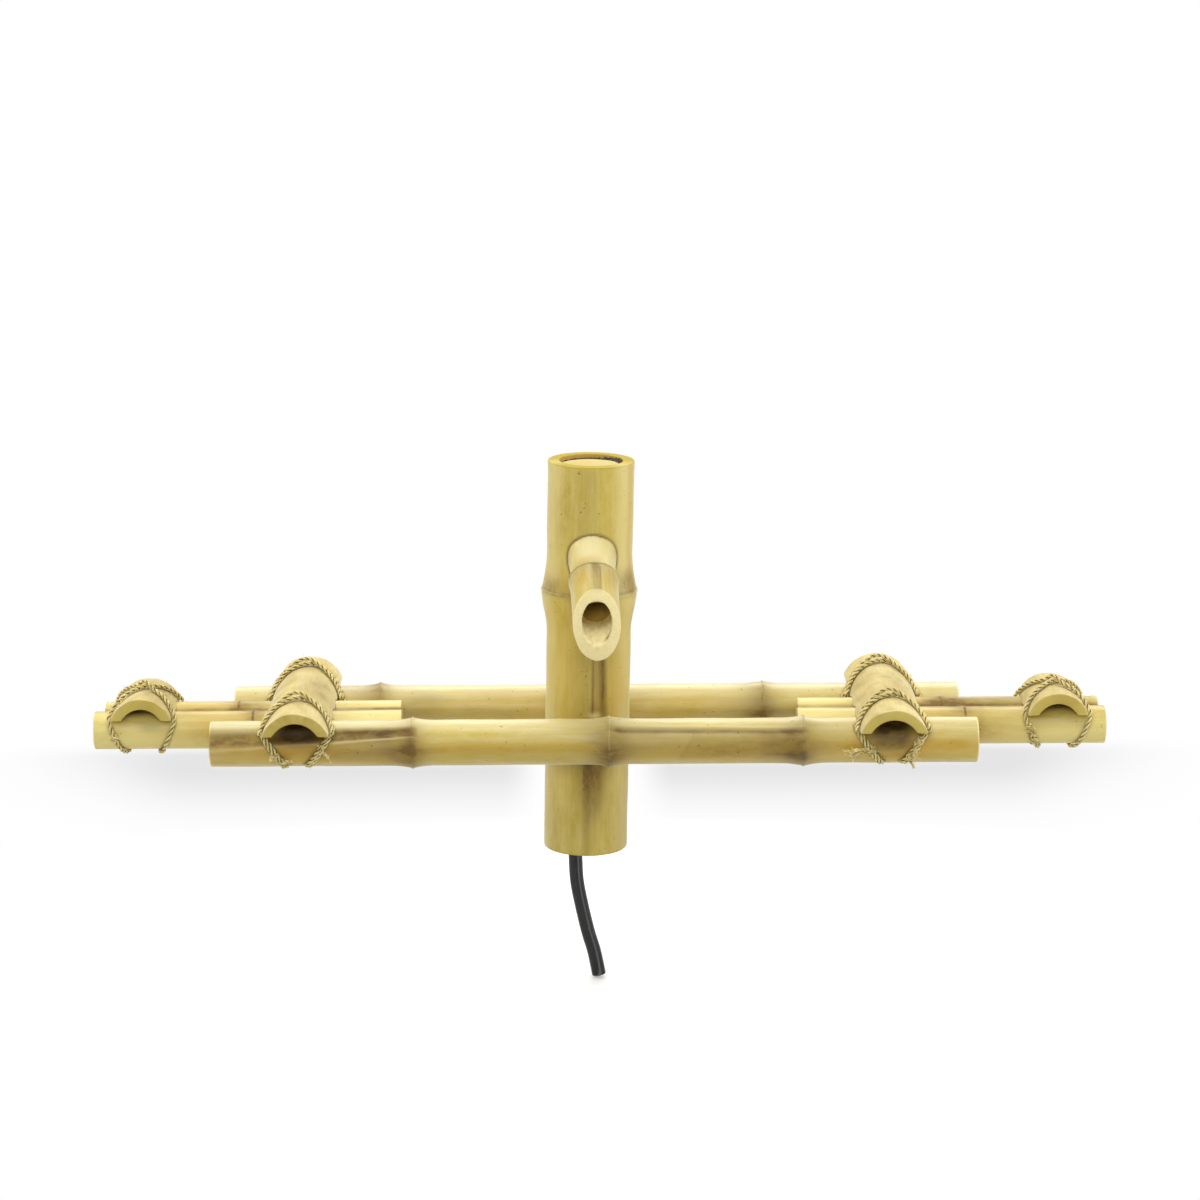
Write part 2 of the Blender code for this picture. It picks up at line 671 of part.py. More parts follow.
def saddle(name, x, seat_z, radius, wall, rise, span, tilt):
    """A half culm lying along Y, open side down, its edges eased."""
    drop = radius - rise
    outer_edge = math.acos(drop / radius)
    inner = radius - wall
    inner_edge = math.acos(drop / inner)
    ring = [(radius * math.sin(a), radius * math.cos(a))
            for a in np.linspace(-outer_edge, outer_edge, SADDLE_STEPS + 1)]
    ring += [(inner * math.sin(a), inner * math.cos(a))
             for a in np.linspace(inner_edge, -inner_edge, SADDLE_STEPS - 3)]
    curve = bpy.data.curves.new(name, "CURVE")
    curve.dimensions = "2D"
    curve.fill_mode = "BOTH"
    curve.extrude = (span[1] - span[0]) / 2
    spline = curve.splines.new("POLY")
    spline.points.add(len(ring) - 1)
    spline.use_cyclic_u = True
    for knot, place in zip(spline.points, ring):
        knot.co = (*place, 0.0, 1.0)
    flat = bpy.data.objects.new(name + "_outline", curve)
    PARTS.objects.link(flat)
    flat.rotation_euler = (math.pi / 2 + tilt, 0.0, 0.0)
    middle = (span[0] + span[1]) / 2
    pivot = FRONT_POLE_Y if tilt else 0.0
    flat.location = (x, middle, saddle_centre(seat_z, radius, rise)
                     + (middle - pivot) * math.tan(tilt))
    bpy.context.view_layer.update()
    evaluated = flat.evaluated_get(bpy.context.evaluated_depsgraph_get())
    mesh = bpy.data.meshes.new_from_object(evaluated)
    bm = bmesh.new()
    bm.from_mesh(mesh)
    bmesh.ops.remove_doubles(bm, verts=bm.verts, dist=0.00001)
    bm.to_mesh(mesh)
    bm.free()
    obj = mesh_object(name, mesh)
    obj.matrix_world = flat.matrix_world
    bpy.data.objects.remove(flat, do_unlink=True)
    ease = obj.modifiers.new("ease", "BEVEL")
    ease.width = SADDLE_EDGE
    ease.segments = 1
    ease.limit_method = "ANGLE"
    ease.angle_limit = math.radians(50)
    return dressed(obj, SADDLE_COLOUR, 0.65)


def make_inner_saddles(main_cutters, arm_cutters):
    for side, x in INNER_SADDLE_X.items():
        obj = saddle(side + "_inner_saddle", x, FOOT_SEAT_Z, INNER_SADDLE_RADIUS,
                     INNER_SADDLE_WALL, INNER_SADDLE_RISE, INNER_SADDLE_SPAN, SADDLE_TILT)
        for cutter in main_cutters + arm_cutters:
            cut(obj, cutter)


def make_outer_saddles(seat_cutters):
    seat = ARM_Z + ARM_RADIUS - OUTER_SEAT_DEPTH
    for side, x in OUTER_SADDLE_X.items():
        obj = saddle(side + "_outer_saddle", x, seat, OUTER_SADDLE_RADIUS,
                     OUTER_SADDLE_WALL, OUTER_SADDLE_RISE, OUTER_SADDLE_SPAN, 0.0)
        for cutter in seat_cutters:
            cut(obj, cutter)


def lying_cutter(name, y, z, radius, steps):
    reach = 0.50
    return rod_cutter(name, (-reach, y, z), (reach, y, z), radius, steps)


# Lashings

def arch_part(x, centre_z, radius, foot_angle, y_top, y_foot, sign, lift):
    """One strand over a saddle, from its -X foot to its +X foot."""
    points = []
    for angle in np.linspace(-foot_angle, foot_angle, ARCH_POINTS):
        share = angle / foot_angle
        spread = STRAND_PITCH * math.tanh(angle / CROSS_SPREAD) + STRAND_SPREAD * share ** 3
        y = y_top + (y_foot - y_top) * share * share + sign * spread / 2
        reach = radius + lift * math.exp(-(angle / (1.35 * CROSS_SPREAD)) ** 2)
        points.append((x + reach * math.sin(angle), y,
                       centre_z(y) + reach * math.cos(angle)))
    return points


def leg_part(x, side, foot_x, foot_angle, entry, pole_y, radius, outer):
    """A strand's leg down the near side of a main pole, from foot to hole."""
    entry_angle, entry_x, bow = entry
    stray = LEG_PITCH if outer else 0.0
    loose = LEG_SLACK[outer]
    points = []
    for i in range(1, LEG_POINTS + 1):
        share = i / LEG_POINTS
        angle = math.radians(foot_angle + (entry_angle - foot_angle) * share)
        reach = radius + ROPE_OFFSET + loose * (1 - share) ** 2
        across = (foot_x + (entry_x - foot_x) * share ** bow
                  + stray * min(1.0, share / 0.3))
        points.append((x + side * across, pole_y - reach * math.cos(angle),
                       radius + reach * math.sin(angle)))
    inward = math.radians(entry_angle - LASH_HOLE_DIP)
    across = entry_x + stray
    if outer:
        depths = (TOUCH, MAIN_WALL, MAIN_WALL + OUTER_STRAND_IN)
    else:
        depths = (TOUCH, MAIN_WALL + INNER_STRAND_IN)
    for reach in (radius - depth for depth in depths):
        points.append((x + side * across, pole_y - reach * math.cos(inward),
                       radius + reach * math.sin(inward)))
    return points


def inner_lashing_points(x, pole_y, radius, entry):
    """Two turns over a saddle that cross on top and meet inside the pole."""
    rope_arch = INNER_SADDLE_RADIUS + ROPE_OFFSET
    drop = INNER_SADDLE_RADIUS - INNER_SADDLE_RISE
    foot = math.acos(drop / rope_arch)
    foot_x = rope_arch * math.sin(foot)

    def centre_z(y):
        return (saddle_centre(FOOT_SEAT_Z, INNER_SADDLE_RADIUS, INNER_SADDLE_RISE)
                + (y - FRONT_POLE_Y) * math.tan(SADDLE_TILT))

    y_top = pole_y + LASH_TOP_BACK
    y_foot = pole_y - LASH_FOOT_FORWARD
    rise = (2 * radius - SADDLE_SEAT_DEPTH - radius) / (radius + ROPE_OFFSET)
    foot_angle = math.degrees(math.asin(rise))

    def leg(side, outer):
        return leg_part(x, side, foot_x, foot_angle, entry, pole_y, radius, outer)

    first = arch_part(x, centre_z, rope_arch, foot, y_top, y_foot, 1, 0.0)
    second = arch_part(x, centre_z, rope_arch, foot, y_top, y_foot, -1, CROSS_LIFT)
    inward = math.radians(entry[0] - LASH_HOLE_DIP)
    deep = LASH_MEET_DEPTH
    half = entry[1] * LASH_MEET_SHARE
    across = [(x + s * half, pole_y - deep * math.cos(inward), radius + deep * math.sin(inward))
              for s in (1, -1)]
    points = list(reversed(leg(-1, False))) + first + leg(1, True)
    points += across
    points += list(reversed(leg(-1, True))) + second + leg(1, False)
    return points


def outer_lashing_points(x):
    """Two turns round both poles of an arm that cross in an X on the saddle."""
    seat = ARM_Z + ARM_RADIUS - OUTER_SEAT_DEPTH
    rope_arch = OUTER_SADDLE_RADIUS + ROPE_OFFSET
    drop = OUTER_SADDLE_RADIUS - OUTER_SADDLE_RISE
    foot = math.acos(drop / rope_arch)
    foot_x = rope_arch * math.sin(foot)
    centre = saddle_centre(seat, OUTER_SADDLE_RADIUS, OUTER_SADDLE_RISE)
    round_pole = ARM_RADIUS + ROPE_OFFSET
    y_foot = ARM_Y + round_pole * math.cos(math.radians(OUTER_LASH_FOOT))

    def over(sign, lift):
        points = []
        for angle in np.linspace(-foot, foot, ARCH_POINTS):
            share = angle / foot
            reach = rope_arch + lift * max(0.0, 1 - abs(share) * 5)
            points.append((x + reach * math.sin(angle), sign * y_foot * share,
                           centre + reach * math.cos(angle)))
        return points

    def down(side, face):
        """From a foot to the middle of the underside; face is -1 at the front."""
        points = []
        for degrees in np.linspace(OUTER_DOWN_START, -90.0, OUTER_DOWN_POINTS):
            share = (OUTER_LASH_FOOT - degrees) / (OUTER_LASH_FOOT + 90.0)
            angle = math.radians(degrees)
            points.append((x + side * (foot_x + (OUTER_LASH_BOTTOM - foot_x) * share),
                           face * (ARM_Y + round_pole * math.cos(angle)),
                           ARM_Z + round_pole * math.sin(angle)))
        return points

    start = [(x - OUTER_LASH_BOTTOM, -OUTER_END_GAP / 2, ARM_Z - round_pole)]
    finish = [(x - OUTER_LASH_BOTTOM, OUTER_END_GAP / 2, ARM_Z - round_pole)]
    points = start + list(reversed(down(-1, -1))) + over(1, 0.0) + down(1, 1)
    points += list(reversed(down(1, -1))) + list(reversed(over(-1, CROSS_LIFT)))
    points += down(-1, 1) + finish
    return points


def least_self_gap(points, radius, skip):
    """Smallest distance between two stretches of a rope, less its thickness."""
    spots = [Vector(p) for p in points]
    run = [0.0]
    for a, b in zip(spots, spots[1:]):
        run.append(run[-1] + (b - a).length)
    fine = []
    for i, (a, b) in enumerate(zip(spots, spots[1:])):
        for k in range(4):
            fine.append((a.lerp(b, k / 4), run[i] + (run[i + 1] - run[i]) * k / 4))
    least = min((p - q).length for (p, s), (q, t) in combinations(fine, 2)
                if abs(s - t) > skip)
    return least - 2 * radius


def make_lashings():
    routes = {}
    for side, x in INNER_SADDLE_X.items():
        routes[side + "_front_lashing"] = inner_lashing_points(
            x, FRONT_POLE_Y, FRONT_POLE_RADIUS, FRONT_LASH_ENTRY)
        routes[side + "_rear_lashing"] = inner_lashing_points(
            x, REAR_POLE_Y, REAR_POLE_RADIUS, REAR_LASH_ENTRY)
    for side, x in OUTER_SADDLE_X.items():
        routes[side + "_outer_lashing"] = outer_lashing_points(x)
    for name, points in routes.items():
        rope = tube(name, points, ROPE_RADIUS, 1)
        rope.data.materials.append(material(name, ROPE_COLOUR, 0.85))
        gap = least_self_gap(points, ROPE_RADIUS, 6 * ROPE_RADIUS)
        print(name, "least gap to itself, mm:", round(gap * 1000, 3),
              "" if gap > ROPE_SELF_GAP else "too close")


# Poles, slats, pegs and dowels

def groove_cutter(name, ends, pole_y, pole_radius):
    """A slim cone lying in the top of a pole, from one end of a bud groove to the other."""
    places = []
    for x, angle, depth, radius in ends:
        reach = pole_radius + radius - depth
        tilt = math.radians(angle)
        places.append(Vector((x, pole_y - reach * math.sin(tilt),
                              pole_radius + reach * math.cos(tilt))))
    start, end = places
    run = (end - start).normalized()
    start = start - run * GROOVE_PROUD
    mesh = bpy.data.meshes.new(name)
    bm = bmesh.new()
    bmesh.ops.create_cone(bm, cap_ends=True, segments=20, radius1=ends[0][3],
                          radius2=ends[1][3], depth=(end - start).length)
    bm.to_mesh(mesh)
    bm.free()
    cone = mesh_object(name, mesh, CUTTERS)
    aim(cone, start, end)
    return as_cutter(cone)


def lashing_hole_cutters(pole_y, radius, entry, tag):
    cutters = []
    inward = math.radians(entry[0] - LASH_HOLE_DIP)
    inside = radius - MAIN_WALL - LASH_HOLE_SPARE
    for side, x in INNER_SADDLE_X.items():
        for hand in (-1, 1):
            place = x + hand * (entry[1] + LEG_PITCH / 2)
            ends = [(place, pole_y - reach * math.cos(inward), radius + reach * math.sin(inward))
                    for reach in (inside, radius + LASH_HOLE_PROUD)]
            name = "lash_hole_%s_%s_%d" % (tag, side, hand)
            cutters.append(rod_cutter(name, ends[0], ends[1], LASH_HOLE_RADIUS))
    return cutters


def slat_box(x, grow, group=None, name="slat"):
    half = SLAT_WIDTH / 2 + grow
    low = (x - half, FRONT_POLE_Y - SLAT_OVERHANG - grow, SLAT_LIFT - grow)
    high = (x + half, REAR_POLE_Y + SLAT_OVERHANG + grow, SLAT_TOP + grow)
    return box(name, low, high, group)


def make_main_poles():
    front = pole("front_main_pole", FRONT_POLE_SPAN, FRONT_POLE_RADIUS, MAIN_WALL,
                 FRONT_POLE_NODES, MAIN_NODE_SWELL, MAIN_NODE_REACH, MAIN_STEPS,
                 FRONT_POLE_Y, FRONT_POLE_RADIUS)
    rear = pole("rear_main_pole", REAR_POLE_SPAN, REAR_POLE_RADIUS, MAIN_WALL,
                REAR_POLE_NODES, MAIN_NODE_SWELL, MAIN_NODE_REACH, MAIN_STEPS,
                REAR_POLE_Y, REAR_POLE_RADIUS)
    cut(front, groove_cutter("front_left_groove", FRONT_LEFT_GROOVE, FRONT_POLE_Y,
                             FRONT_POLE_RADIUS))
    cut(front, groove_cutter("front_mid_groove", FRONT_MID_GROOVE, FRONT_POLE_Y,
                             FRONT_POLE_RADIUS))
    for cutter in lashing_hole_cutters(FRONT_POLE_Y, FRONT_POLE_RADIUS, FRONT_LASH_ENTRY,
                                       "front"):
        cut(front, cutter)
    for cutter in lashing_hole_cutters(REAR_POLE_Y, REAR_POLE_RADIUS, REAR_LASH_ENTRY, "rear"):
        cut(rear, cutter)
    for side, x in INNER_SADDLE_X.items():
        slat = slat_box(x, 0.0, None, side + "_guide_slat")
        dressed(slat, PEG_COLOUR, 0.6)
        notch = as_cutter(slat_box(x, TOUCH, CUTTERS, side + "_slat_notch"))
        cut(front, notch)
        cut(rear, notch)
    dressed(front, POLE_COLOUR, 0.4)
    dressed(rear, POLE_COLOUR, 0.4)
    return front, rear


def make_pegs(post, front, rear):
    """Pegs across the joint between each main pole and the post."""
    for tag, face, pole_obj, pole_y, radius in (
            ("front", -1, front, FRONT_POLE_Y, FRONT_POLE_RADIUS),
            ("rear", 1, rear, REAR_POLE_Y, REAR_POLE_RADIUS)):
        middle = abs(pole_y) - radius - PEG_INWARD
        half = PEG_LENGTH / 2
        peg = cylinder(tag + "_post_peg", PEG_RADIUS, PEG_LENGTH, PEG_STEPS)
        aim(peg, (0.0, face * (middle - half), PEG_HEIGHT),
            (0.0, face * (middle + half), PEG_HEIGHT))
        dressed(peg, PEG_COLOUR, 0.6)
        deep = half + PEG_HOLE_SPARE
        hole = rod_cutter(tag + "_peg_hole", (0.0, face * (middle - deep), PEG_HEIGHT),
                          (0.0, face * (middle + deep), PEG_HEIGHT), PEG_RADIUS + TOUCH)
        cut(post, hole)
        cut(pole_obj, hole)


def make_arms():
    for name, (span, node, face) in ARM_POLES.items():
        arm = pole(name, span, ARM_RADIUS, ARM_WALL, (node,), ARM_NODE_SWELL,
                   ARM_NODE_REACH, ARM_STEPS, face * ARM_Y, ARM_Z)
        side = name.split("_")[0]
        toward = 1 if side == "left" else -1
        inner = max(ARM_POLES[side + "_front_arm_pole"][0], key=lambda v: v * toward)
        x = inner - toward * DOWEL_INSET
        cut(arm, rod_cutter(name + "_dowel_hole", (x, -DOWEL_LENGTH, ARM_Z),
                            (x, DOWEL_LENGTH, ARM_Z), DOWEL_RADIUS + TOUCH))
        dressed(arm, ARM_COLOUR, 0.4)
        if face > 0:
            dowel = cylinder(side + "_arm_dowel", DOWEL_RADIUS, DOWEL_LENGTH, PEG_STEPS)
            aim(dowel, (x, -DOWEL_LENGTH / 2, ARM_Z), (x, DOWEL_LENGTH / 2, ARM_Z))
            dressed(dowel, PEG_COLOUR, 0.6)


# Assembly

POST_AXIS = make_post_axis()
post_obj = make_post()
make_top_plug()
foot_plug = make_foot_plug()
make_spout()
make_hose()
cut_hose_ways(post_obj, foot_plug)
front_obj, rear_obj = make_main_poles()
make_pegs(post_obj, front_obj, rear_obj)
make_arms()

main_seats = [
    lying_cutter("front_seat", FRONT_POLE_Y, FRONT_POLE_RADIUS, FRONT_POLE_RADIUS + TOUCH,
                 MAIN_STEPS),
    lying_cutter("rear_seat", REAR_POLE_Y, REAR_POLE_RADIUS, REAR_POLE_RADIUS + TOUCH,
                 MAIN_STEPS)]
arm_slots = [lying_cutter("arm_slot_%d" % face, face * ARM_Y, ARM_Z, ARM_RADIUS + RUN_CLEAR,
                          ARM_STEPS) for face in (-1, 1)]
arm_seats = [lying_cutter("arm_seat_%d" % face, face * ARM_Y, ARM_Z, ARM_RADIUS + TOUCH,
                          ARM_STEPS) for face in (-1, 1)]
make_inner_saddles(main_seats, arm_slots)
make_outer_saddles(arm_seats)
make_lashings()
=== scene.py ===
# %% [markdown]
# # A bamboo fountain for a basin
#
# The real object is a thick bamboo post with a slanted spout, held between long poles that lie
# across a basin. Thinner poles slide in and out at each end, and half culms tied down with twine
# keep everything together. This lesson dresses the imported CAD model: it loads the solids as a fixed
# frame, and builds the bamboo, the twine and the hose over them in the same places.

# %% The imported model
import math

import bmesh
import bpy
import numpy as np
from mathutils import Matrix, Vector
from mathutils.kdtree import KDTree


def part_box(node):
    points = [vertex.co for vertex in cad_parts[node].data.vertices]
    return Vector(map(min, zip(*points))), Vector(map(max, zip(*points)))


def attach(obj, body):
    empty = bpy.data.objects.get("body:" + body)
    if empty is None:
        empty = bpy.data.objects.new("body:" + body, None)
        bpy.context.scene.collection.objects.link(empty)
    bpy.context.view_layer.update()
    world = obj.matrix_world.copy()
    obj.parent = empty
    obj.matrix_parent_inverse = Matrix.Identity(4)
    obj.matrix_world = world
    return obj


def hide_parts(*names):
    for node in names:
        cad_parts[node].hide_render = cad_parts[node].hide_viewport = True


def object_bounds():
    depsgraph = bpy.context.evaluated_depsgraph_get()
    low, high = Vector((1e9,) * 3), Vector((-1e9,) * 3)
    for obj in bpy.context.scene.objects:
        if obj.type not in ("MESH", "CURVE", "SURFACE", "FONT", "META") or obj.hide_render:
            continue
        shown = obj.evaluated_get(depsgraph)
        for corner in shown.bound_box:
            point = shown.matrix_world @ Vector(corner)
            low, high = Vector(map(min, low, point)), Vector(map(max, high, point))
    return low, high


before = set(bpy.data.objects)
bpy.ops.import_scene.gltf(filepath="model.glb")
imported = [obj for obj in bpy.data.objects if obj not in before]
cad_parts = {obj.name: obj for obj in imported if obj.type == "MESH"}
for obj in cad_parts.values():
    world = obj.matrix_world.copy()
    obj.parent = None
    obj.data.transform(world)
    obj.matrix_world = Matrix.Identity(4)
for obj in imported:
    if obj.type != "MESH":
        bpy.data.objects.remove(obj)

CAD_BOX = [list(corner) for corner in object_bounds()]
print("CAD box in metres:", CAD_BOX)

# %% [markdown]
# ## Camera
#
# The photograph looks down a little at the fountain from about three metres away through a long
# lens. A camera could be aimed with a constraint, but a matrix built from its own directions also
# takes the slight roll, so that is used here.

# %% Camera
CAMERA_PLACE = Vector((-0.01033, -3.0, 0.8387))
CAMERA_LENS = 103.5
PITCH, YAW, ROLL = (math.radians(degrees) for degrees in (13.2, 0.42, -0.25))


def linked(name, data):
    piece = bpy.data.objects.new(name, data)
    bpy.context.scene.collection.objects.link(piece)
    return piece


def camera_turn():
    forward = Vector((math.sin(YAW) * math.cos(PITCH), math.cos(YAW) * math.cos(PITCH),
                      -math.sin(PITCH)))
    level = Vector((math.cos(YAW), -math.sin(YAW), 0.0))
    upright = level.cross(forward)
    right = level * math.cos(ROLL) + upright * math.sin(ROLL)
    up = upright * math.cos(ROLL) - level * math.sin(ROLL)
    return Matrix((right, up, -forward)).transposed().to_4x4()


lens = bpy.data.cameras.new("camera")
lens.lens, lens.sensor_width, lens.clip_end = CAMERA_LENS, 36.0, 50.0
camera = linked("camera", lens)
camera.matrix_world = Matrix.Translation(CAMERA_PLACE) @ camera_turn()
bpy.context.scene.camera = camera
bpy.context.scene.view_settings.view_transform = "Standard"

# %% [markdown]
# ## Small tools
#
# Meshes are worked on as arrays, because a culm has tens of thousands of points. An attribute is a
# value kept on each point or corner, and a material can read it by name.


# %% Points, attributes and new pieces
def values_of(items, key, size=1, kind=float):
    flat = np.empty(len(items) * size, kind)
    items.foreach_get(key, flat)
    return flat


def points_of(mesh):
    return values_of(mesh.vertices, "co", 3).reshape(-1, 3)


def move_points(mesh, places):
    mesh.vertices.foreach_set("co", np.ascontiguousarray(places, np.float32).ravel())
    mesh.update()


def drop(mesh, *names):
    for name in names:
        if name in mesh.attributes:
            mesh.attributes.remove(mesh.attributes[name])


def keep(mesh, name, values, domain="POINT"):
    """Stores numbers or vectors on a mesh under a name that materials read."""
    drop(mesh, name)
    values = np.asarray(values, np.float32)
    kind, key = ("FLOAT", "value") if values.ndim == 1 else ("FLOAT_VECTOR", "vector")
    mesh.attributes.new(name, kind, domain).data.foreach_set(key, values.ravel())


def kept(mesh, name):
    return values_of(mesh.attributes[name].data, "value")


def new_piece(name, points, faces=(), edges=()):
    mesh = bpy.data.meshes.new(name)
    mesh.from_pydata([tuple(p) for p in points], list(edges), list(faces))
    mesh.update()
    return linked(name, mesh)


def outward(mesh, merge=0.0):
    bm = bmesh.new()
    bm.from_mesh(mesh)
    if merge:
        bmesh.ops.remove_doubles(bm, verts=bm.verts, dist=merge)
    bmesh.ops.recalc_face_normals(bm, faces=bm.faces)
    bm.to_mesh(mesh)
    bm.free()


def smooth(mesh, sharp_from=180):
    """Smooth shading, apart from edges sharper than an angle in degrees."""
    mesh.shade_smooth()
    if sharp_from < 180:
        mesh.set_sharp_from_angle(angle=math.radians(sharp_from))


def ripple(points, size, seed):
    """A slow, repeatable waviness between -1 and 1, about size metres from wave to wave."""
    draw = np.random.default_rng(seed)
    total = np.zeros(len(points))
    for _ in range(7):
        way = draw.normal(size=3)
        way *= draw.uniform(0.7, 1.7) / np.linalg.norm(way)
        total += np.sin(points @ way * (2 * math.pi / size) + draw.uniform(0, 2 * math.pi))
    return total / 4.0


# %% [markdown]
# Node trees read better when they are written as formulas. A wire is the output of a node, and
# sums and products of wires add the math nodes that work them out. A bench adds nodes to one tree,
# for materials and Geometry Nodes alike.

# %% A bench for node trees
class Wire:
    def __init__(self, bench, socket):
        self.bench, self.socket = bench, socket

    def __add__(self, other):
        return self.bench.math("ADD", self, other)

    def __mul__(self, other):
        return self.bench.math("MULTIPLY", self, other)

    def __sub__(self, other):
        return self.bench.math("SUBTRACT", self, other)

    def __rsub__(self, other):
        return self.bench.math("SUBTRACT", other, self)

    def __truediv__(self, other):
        return self.bench.math("DIVIDE", self, other)

    def __rtruediv__(self, other):
        return self.bench.math("DIVIDE", other, self)

    __radd__, __rmul__ = __add__, __mul__

    def held(self):
        """Keeps the value between 0 and 1."""
        self.socket.node.use_clamp = True
        return self


class Bench:
    def __init__(self, tree):
        self.tree = tree

    def fill(self, node, inputs):
        """Feeds a node's inputs with wires, numbers or colours."""
        for key, value in inputs.items():
            socket = node.inputs[key]
            if isinstance(value, Wire):
                self.tree.links.new(value.socket, socket)
            else:
                socket.default_value = (*value, 1.0) if socket.type == "RGBA" else value

    def make(self, kind, inputs=None, **settings):
        node = self.tree.nodes.new(kind)
        for key, value in settings.items():
            setattr(node, key, value)
        self.fill(node, inputs or {})
        return node

    def wires(self, node):
        """A node's outputs, by number and by name."""
        found = [Wire(self, socket) for socket in node.outputs]
        return {**dict(enumerate(found)), **{wire.socket.name: wire for wire in found}}

    def node(self, kind, inputs=None, out=0, **settings):
        return Wire(self, self.make(kind, inputs, **settings).outputs[out])

    def math(self, operation, a, b=0.0):
        return self.node("ShaderNodeMath", {0: a, 1: b}, operation=operation)

    def most(self, a, b):
        return self.math("MAXIMUM", a, b)

    def vector(self, operation, a, b):
        return self.node("ShaderNodeVectorMath", {0: a, 1: b}, operation=operation)

    def apart(self, vector):
        node = self.make("ShaderNodeSeparateXYZ", {0: vector})
        return [Wire(self, socket) for socket in node.outputs]

    def fade(self, value, low, high, start=0.0, end=1.0):
        """Goes smoothly from start to end while the value goes from low to high."""
        return self.node("ShaderNodeMapRange", {0: value, 1: low, 2: high, 3: start, 4: end},
                         interpolation_type="SMOOTHSTEP")

    def layers(self, base, *coats):
        """Lays colours over a base one after another, each with the share that shows."""
        for share, tint in coats:
            base = self.node("ShaderNodeMix", {0: share, 6: base, 7: tint}, 2, data_type="RGBA")
        return base

    def noise(self, vector, scale, detail=3.0, roughness=0.55):
        return self.node("ShaderNodeTexNoise", {"Vector": vector, "Scale": scale,
                                                "Detail": detail, "Roughness": roughness})

    def coords(self):
        return self.node("ShaderNodeTexCoord", out="Object")

    def patches(self, scale, detail, roughness=0.55):
        return self.fade(self.noise(self.coords(), scale, detail, roughness), 0.35, 0.65)

    def attribute(self, name, out="Vector"):
        return self.node("ShaderNodeAttribute", out=out, attribute_name=name)

    def bump(self, height, strength, distance):
        return self.node("ShaderNodeBump", {"Height": height, "Strength": strength,
                                            "Distance": distance})

    def group(self, tree, inputs):
        return self.wires(self.make("ShaderNodeGroup", inputs, node_tree=tree))


def node_group(name, inputs, build, kind="Shader"):
    """A node group; inputs have a default or a socket type, and build returns the outputs."""
    tree = bpy.data.node_groups.new(name, kind + "NodeTree")
    for label, value in inputs.items():
        socket = value if isinstance(value, str) else {int: "Int", float: "Float"}[type(value)]
        made = tree.interface.new_socket(label, in_out="INPUT", socket_type="NodeSocket" + socket)
        if socket != value:
            made.default_value = value
    bench = Bench(tree)
    results = build(bench, bench.wires(bench.make("NodeGroupInput")))
    for label in results:
        tree.interface.new_socket(label, in_out="OUTPUT", socket_type=(
            "NodeSocketFloat" if kind == "Shader" else "NodeSocketGeometry"))
    bench.make("NodeGroupOutput", results)
    return tree


def settle(piece):
    """Keeps what a piece's modifiers make as its plain mesh."""
    bpy.context.view_layer.update()
    graph = bpy.context.evaluated_depsgraph_get()
    mesh = bpy.data.meshes.new_from_object(piece.evaluated_get(graph),
                                           preserve_all_data_layers=True, depsgraph=graph)
    piece.modifiers.clear()
    old, piece.data = piece.data, mesh
    bpy.data.meshes.remove(old)
    return mesh


def run_tree(piece, tree, settings):
    modifier = piece.modifiers.new(tree.name, "NODES")
    modifier.node_group = tree
    sockets = {item.name: item.identifier for item in tree.interface.items_tree
               if item.in_out == "INPUT"}
    for label, value in settings.items():
        modifier[sockets[label]] = value
    return settle(piece)


# %% [markdown]
# ## Shader groups
#
# All kinds of bamboo share a few effects: long fibres, cloudy patches, small dark specks with
# scratches, and the pores of a sawn end. Each effect is one group. All of them read the `grain`
# attribute, a point's place in its own culm with the culm's length first, so that the fibres
# follow every pole and the post alike.

# %% Fibres, clouds, specks and sawn ends
def fibre_effect(bench, given):
    squeeze = bench.node("ShaderNodeCombineXYZ", {0: 1.0 / given["Stretch"], 1: 1.0, 2: 1.0})
    drawn = bench.vector("MULTIPLY", given["Grain"], squeeze)
    longer = bench.vector("MULTIPLY", drawn, (0.3, 1.0, 1.0))
    broad = bench.noise(drawn, given["Fineness"] * 0.22, 2.0)
    fine = bench.noise(drawn, given["Fineness"], 3.0, 0.6)
    finer = bench.noise(longer, given["Fineness"] * 2.6, 2.0, 0.7)
    return {"Broad": bench.fade(broad, 0.3, 0.7),
            "Fine": bench.fade(fine * 0.6 + finer * 0.4, 0.32, 0.68)}


def cloud_effect(bench, given):
    shift = bench.node("ShaderNodeCombineXYZ", {0: given["Shift"], 1: given["Shift"]})
    drawn = bench.vector("MULTIPLY", bench.vector("ADD", given["Grain"], shift), (0.45, 1.0, 1.0))
    large = bench.noise(drawn, given["Size"], 3.0, 0.5)
    small = bench.noise(drawn, given["Size"] * 5.5, 5.0, 0.62)
    return {"Large": bench.fade(large, 0.34, 0.66), "Small": bench.fade(small, 0.34, 0.66)}


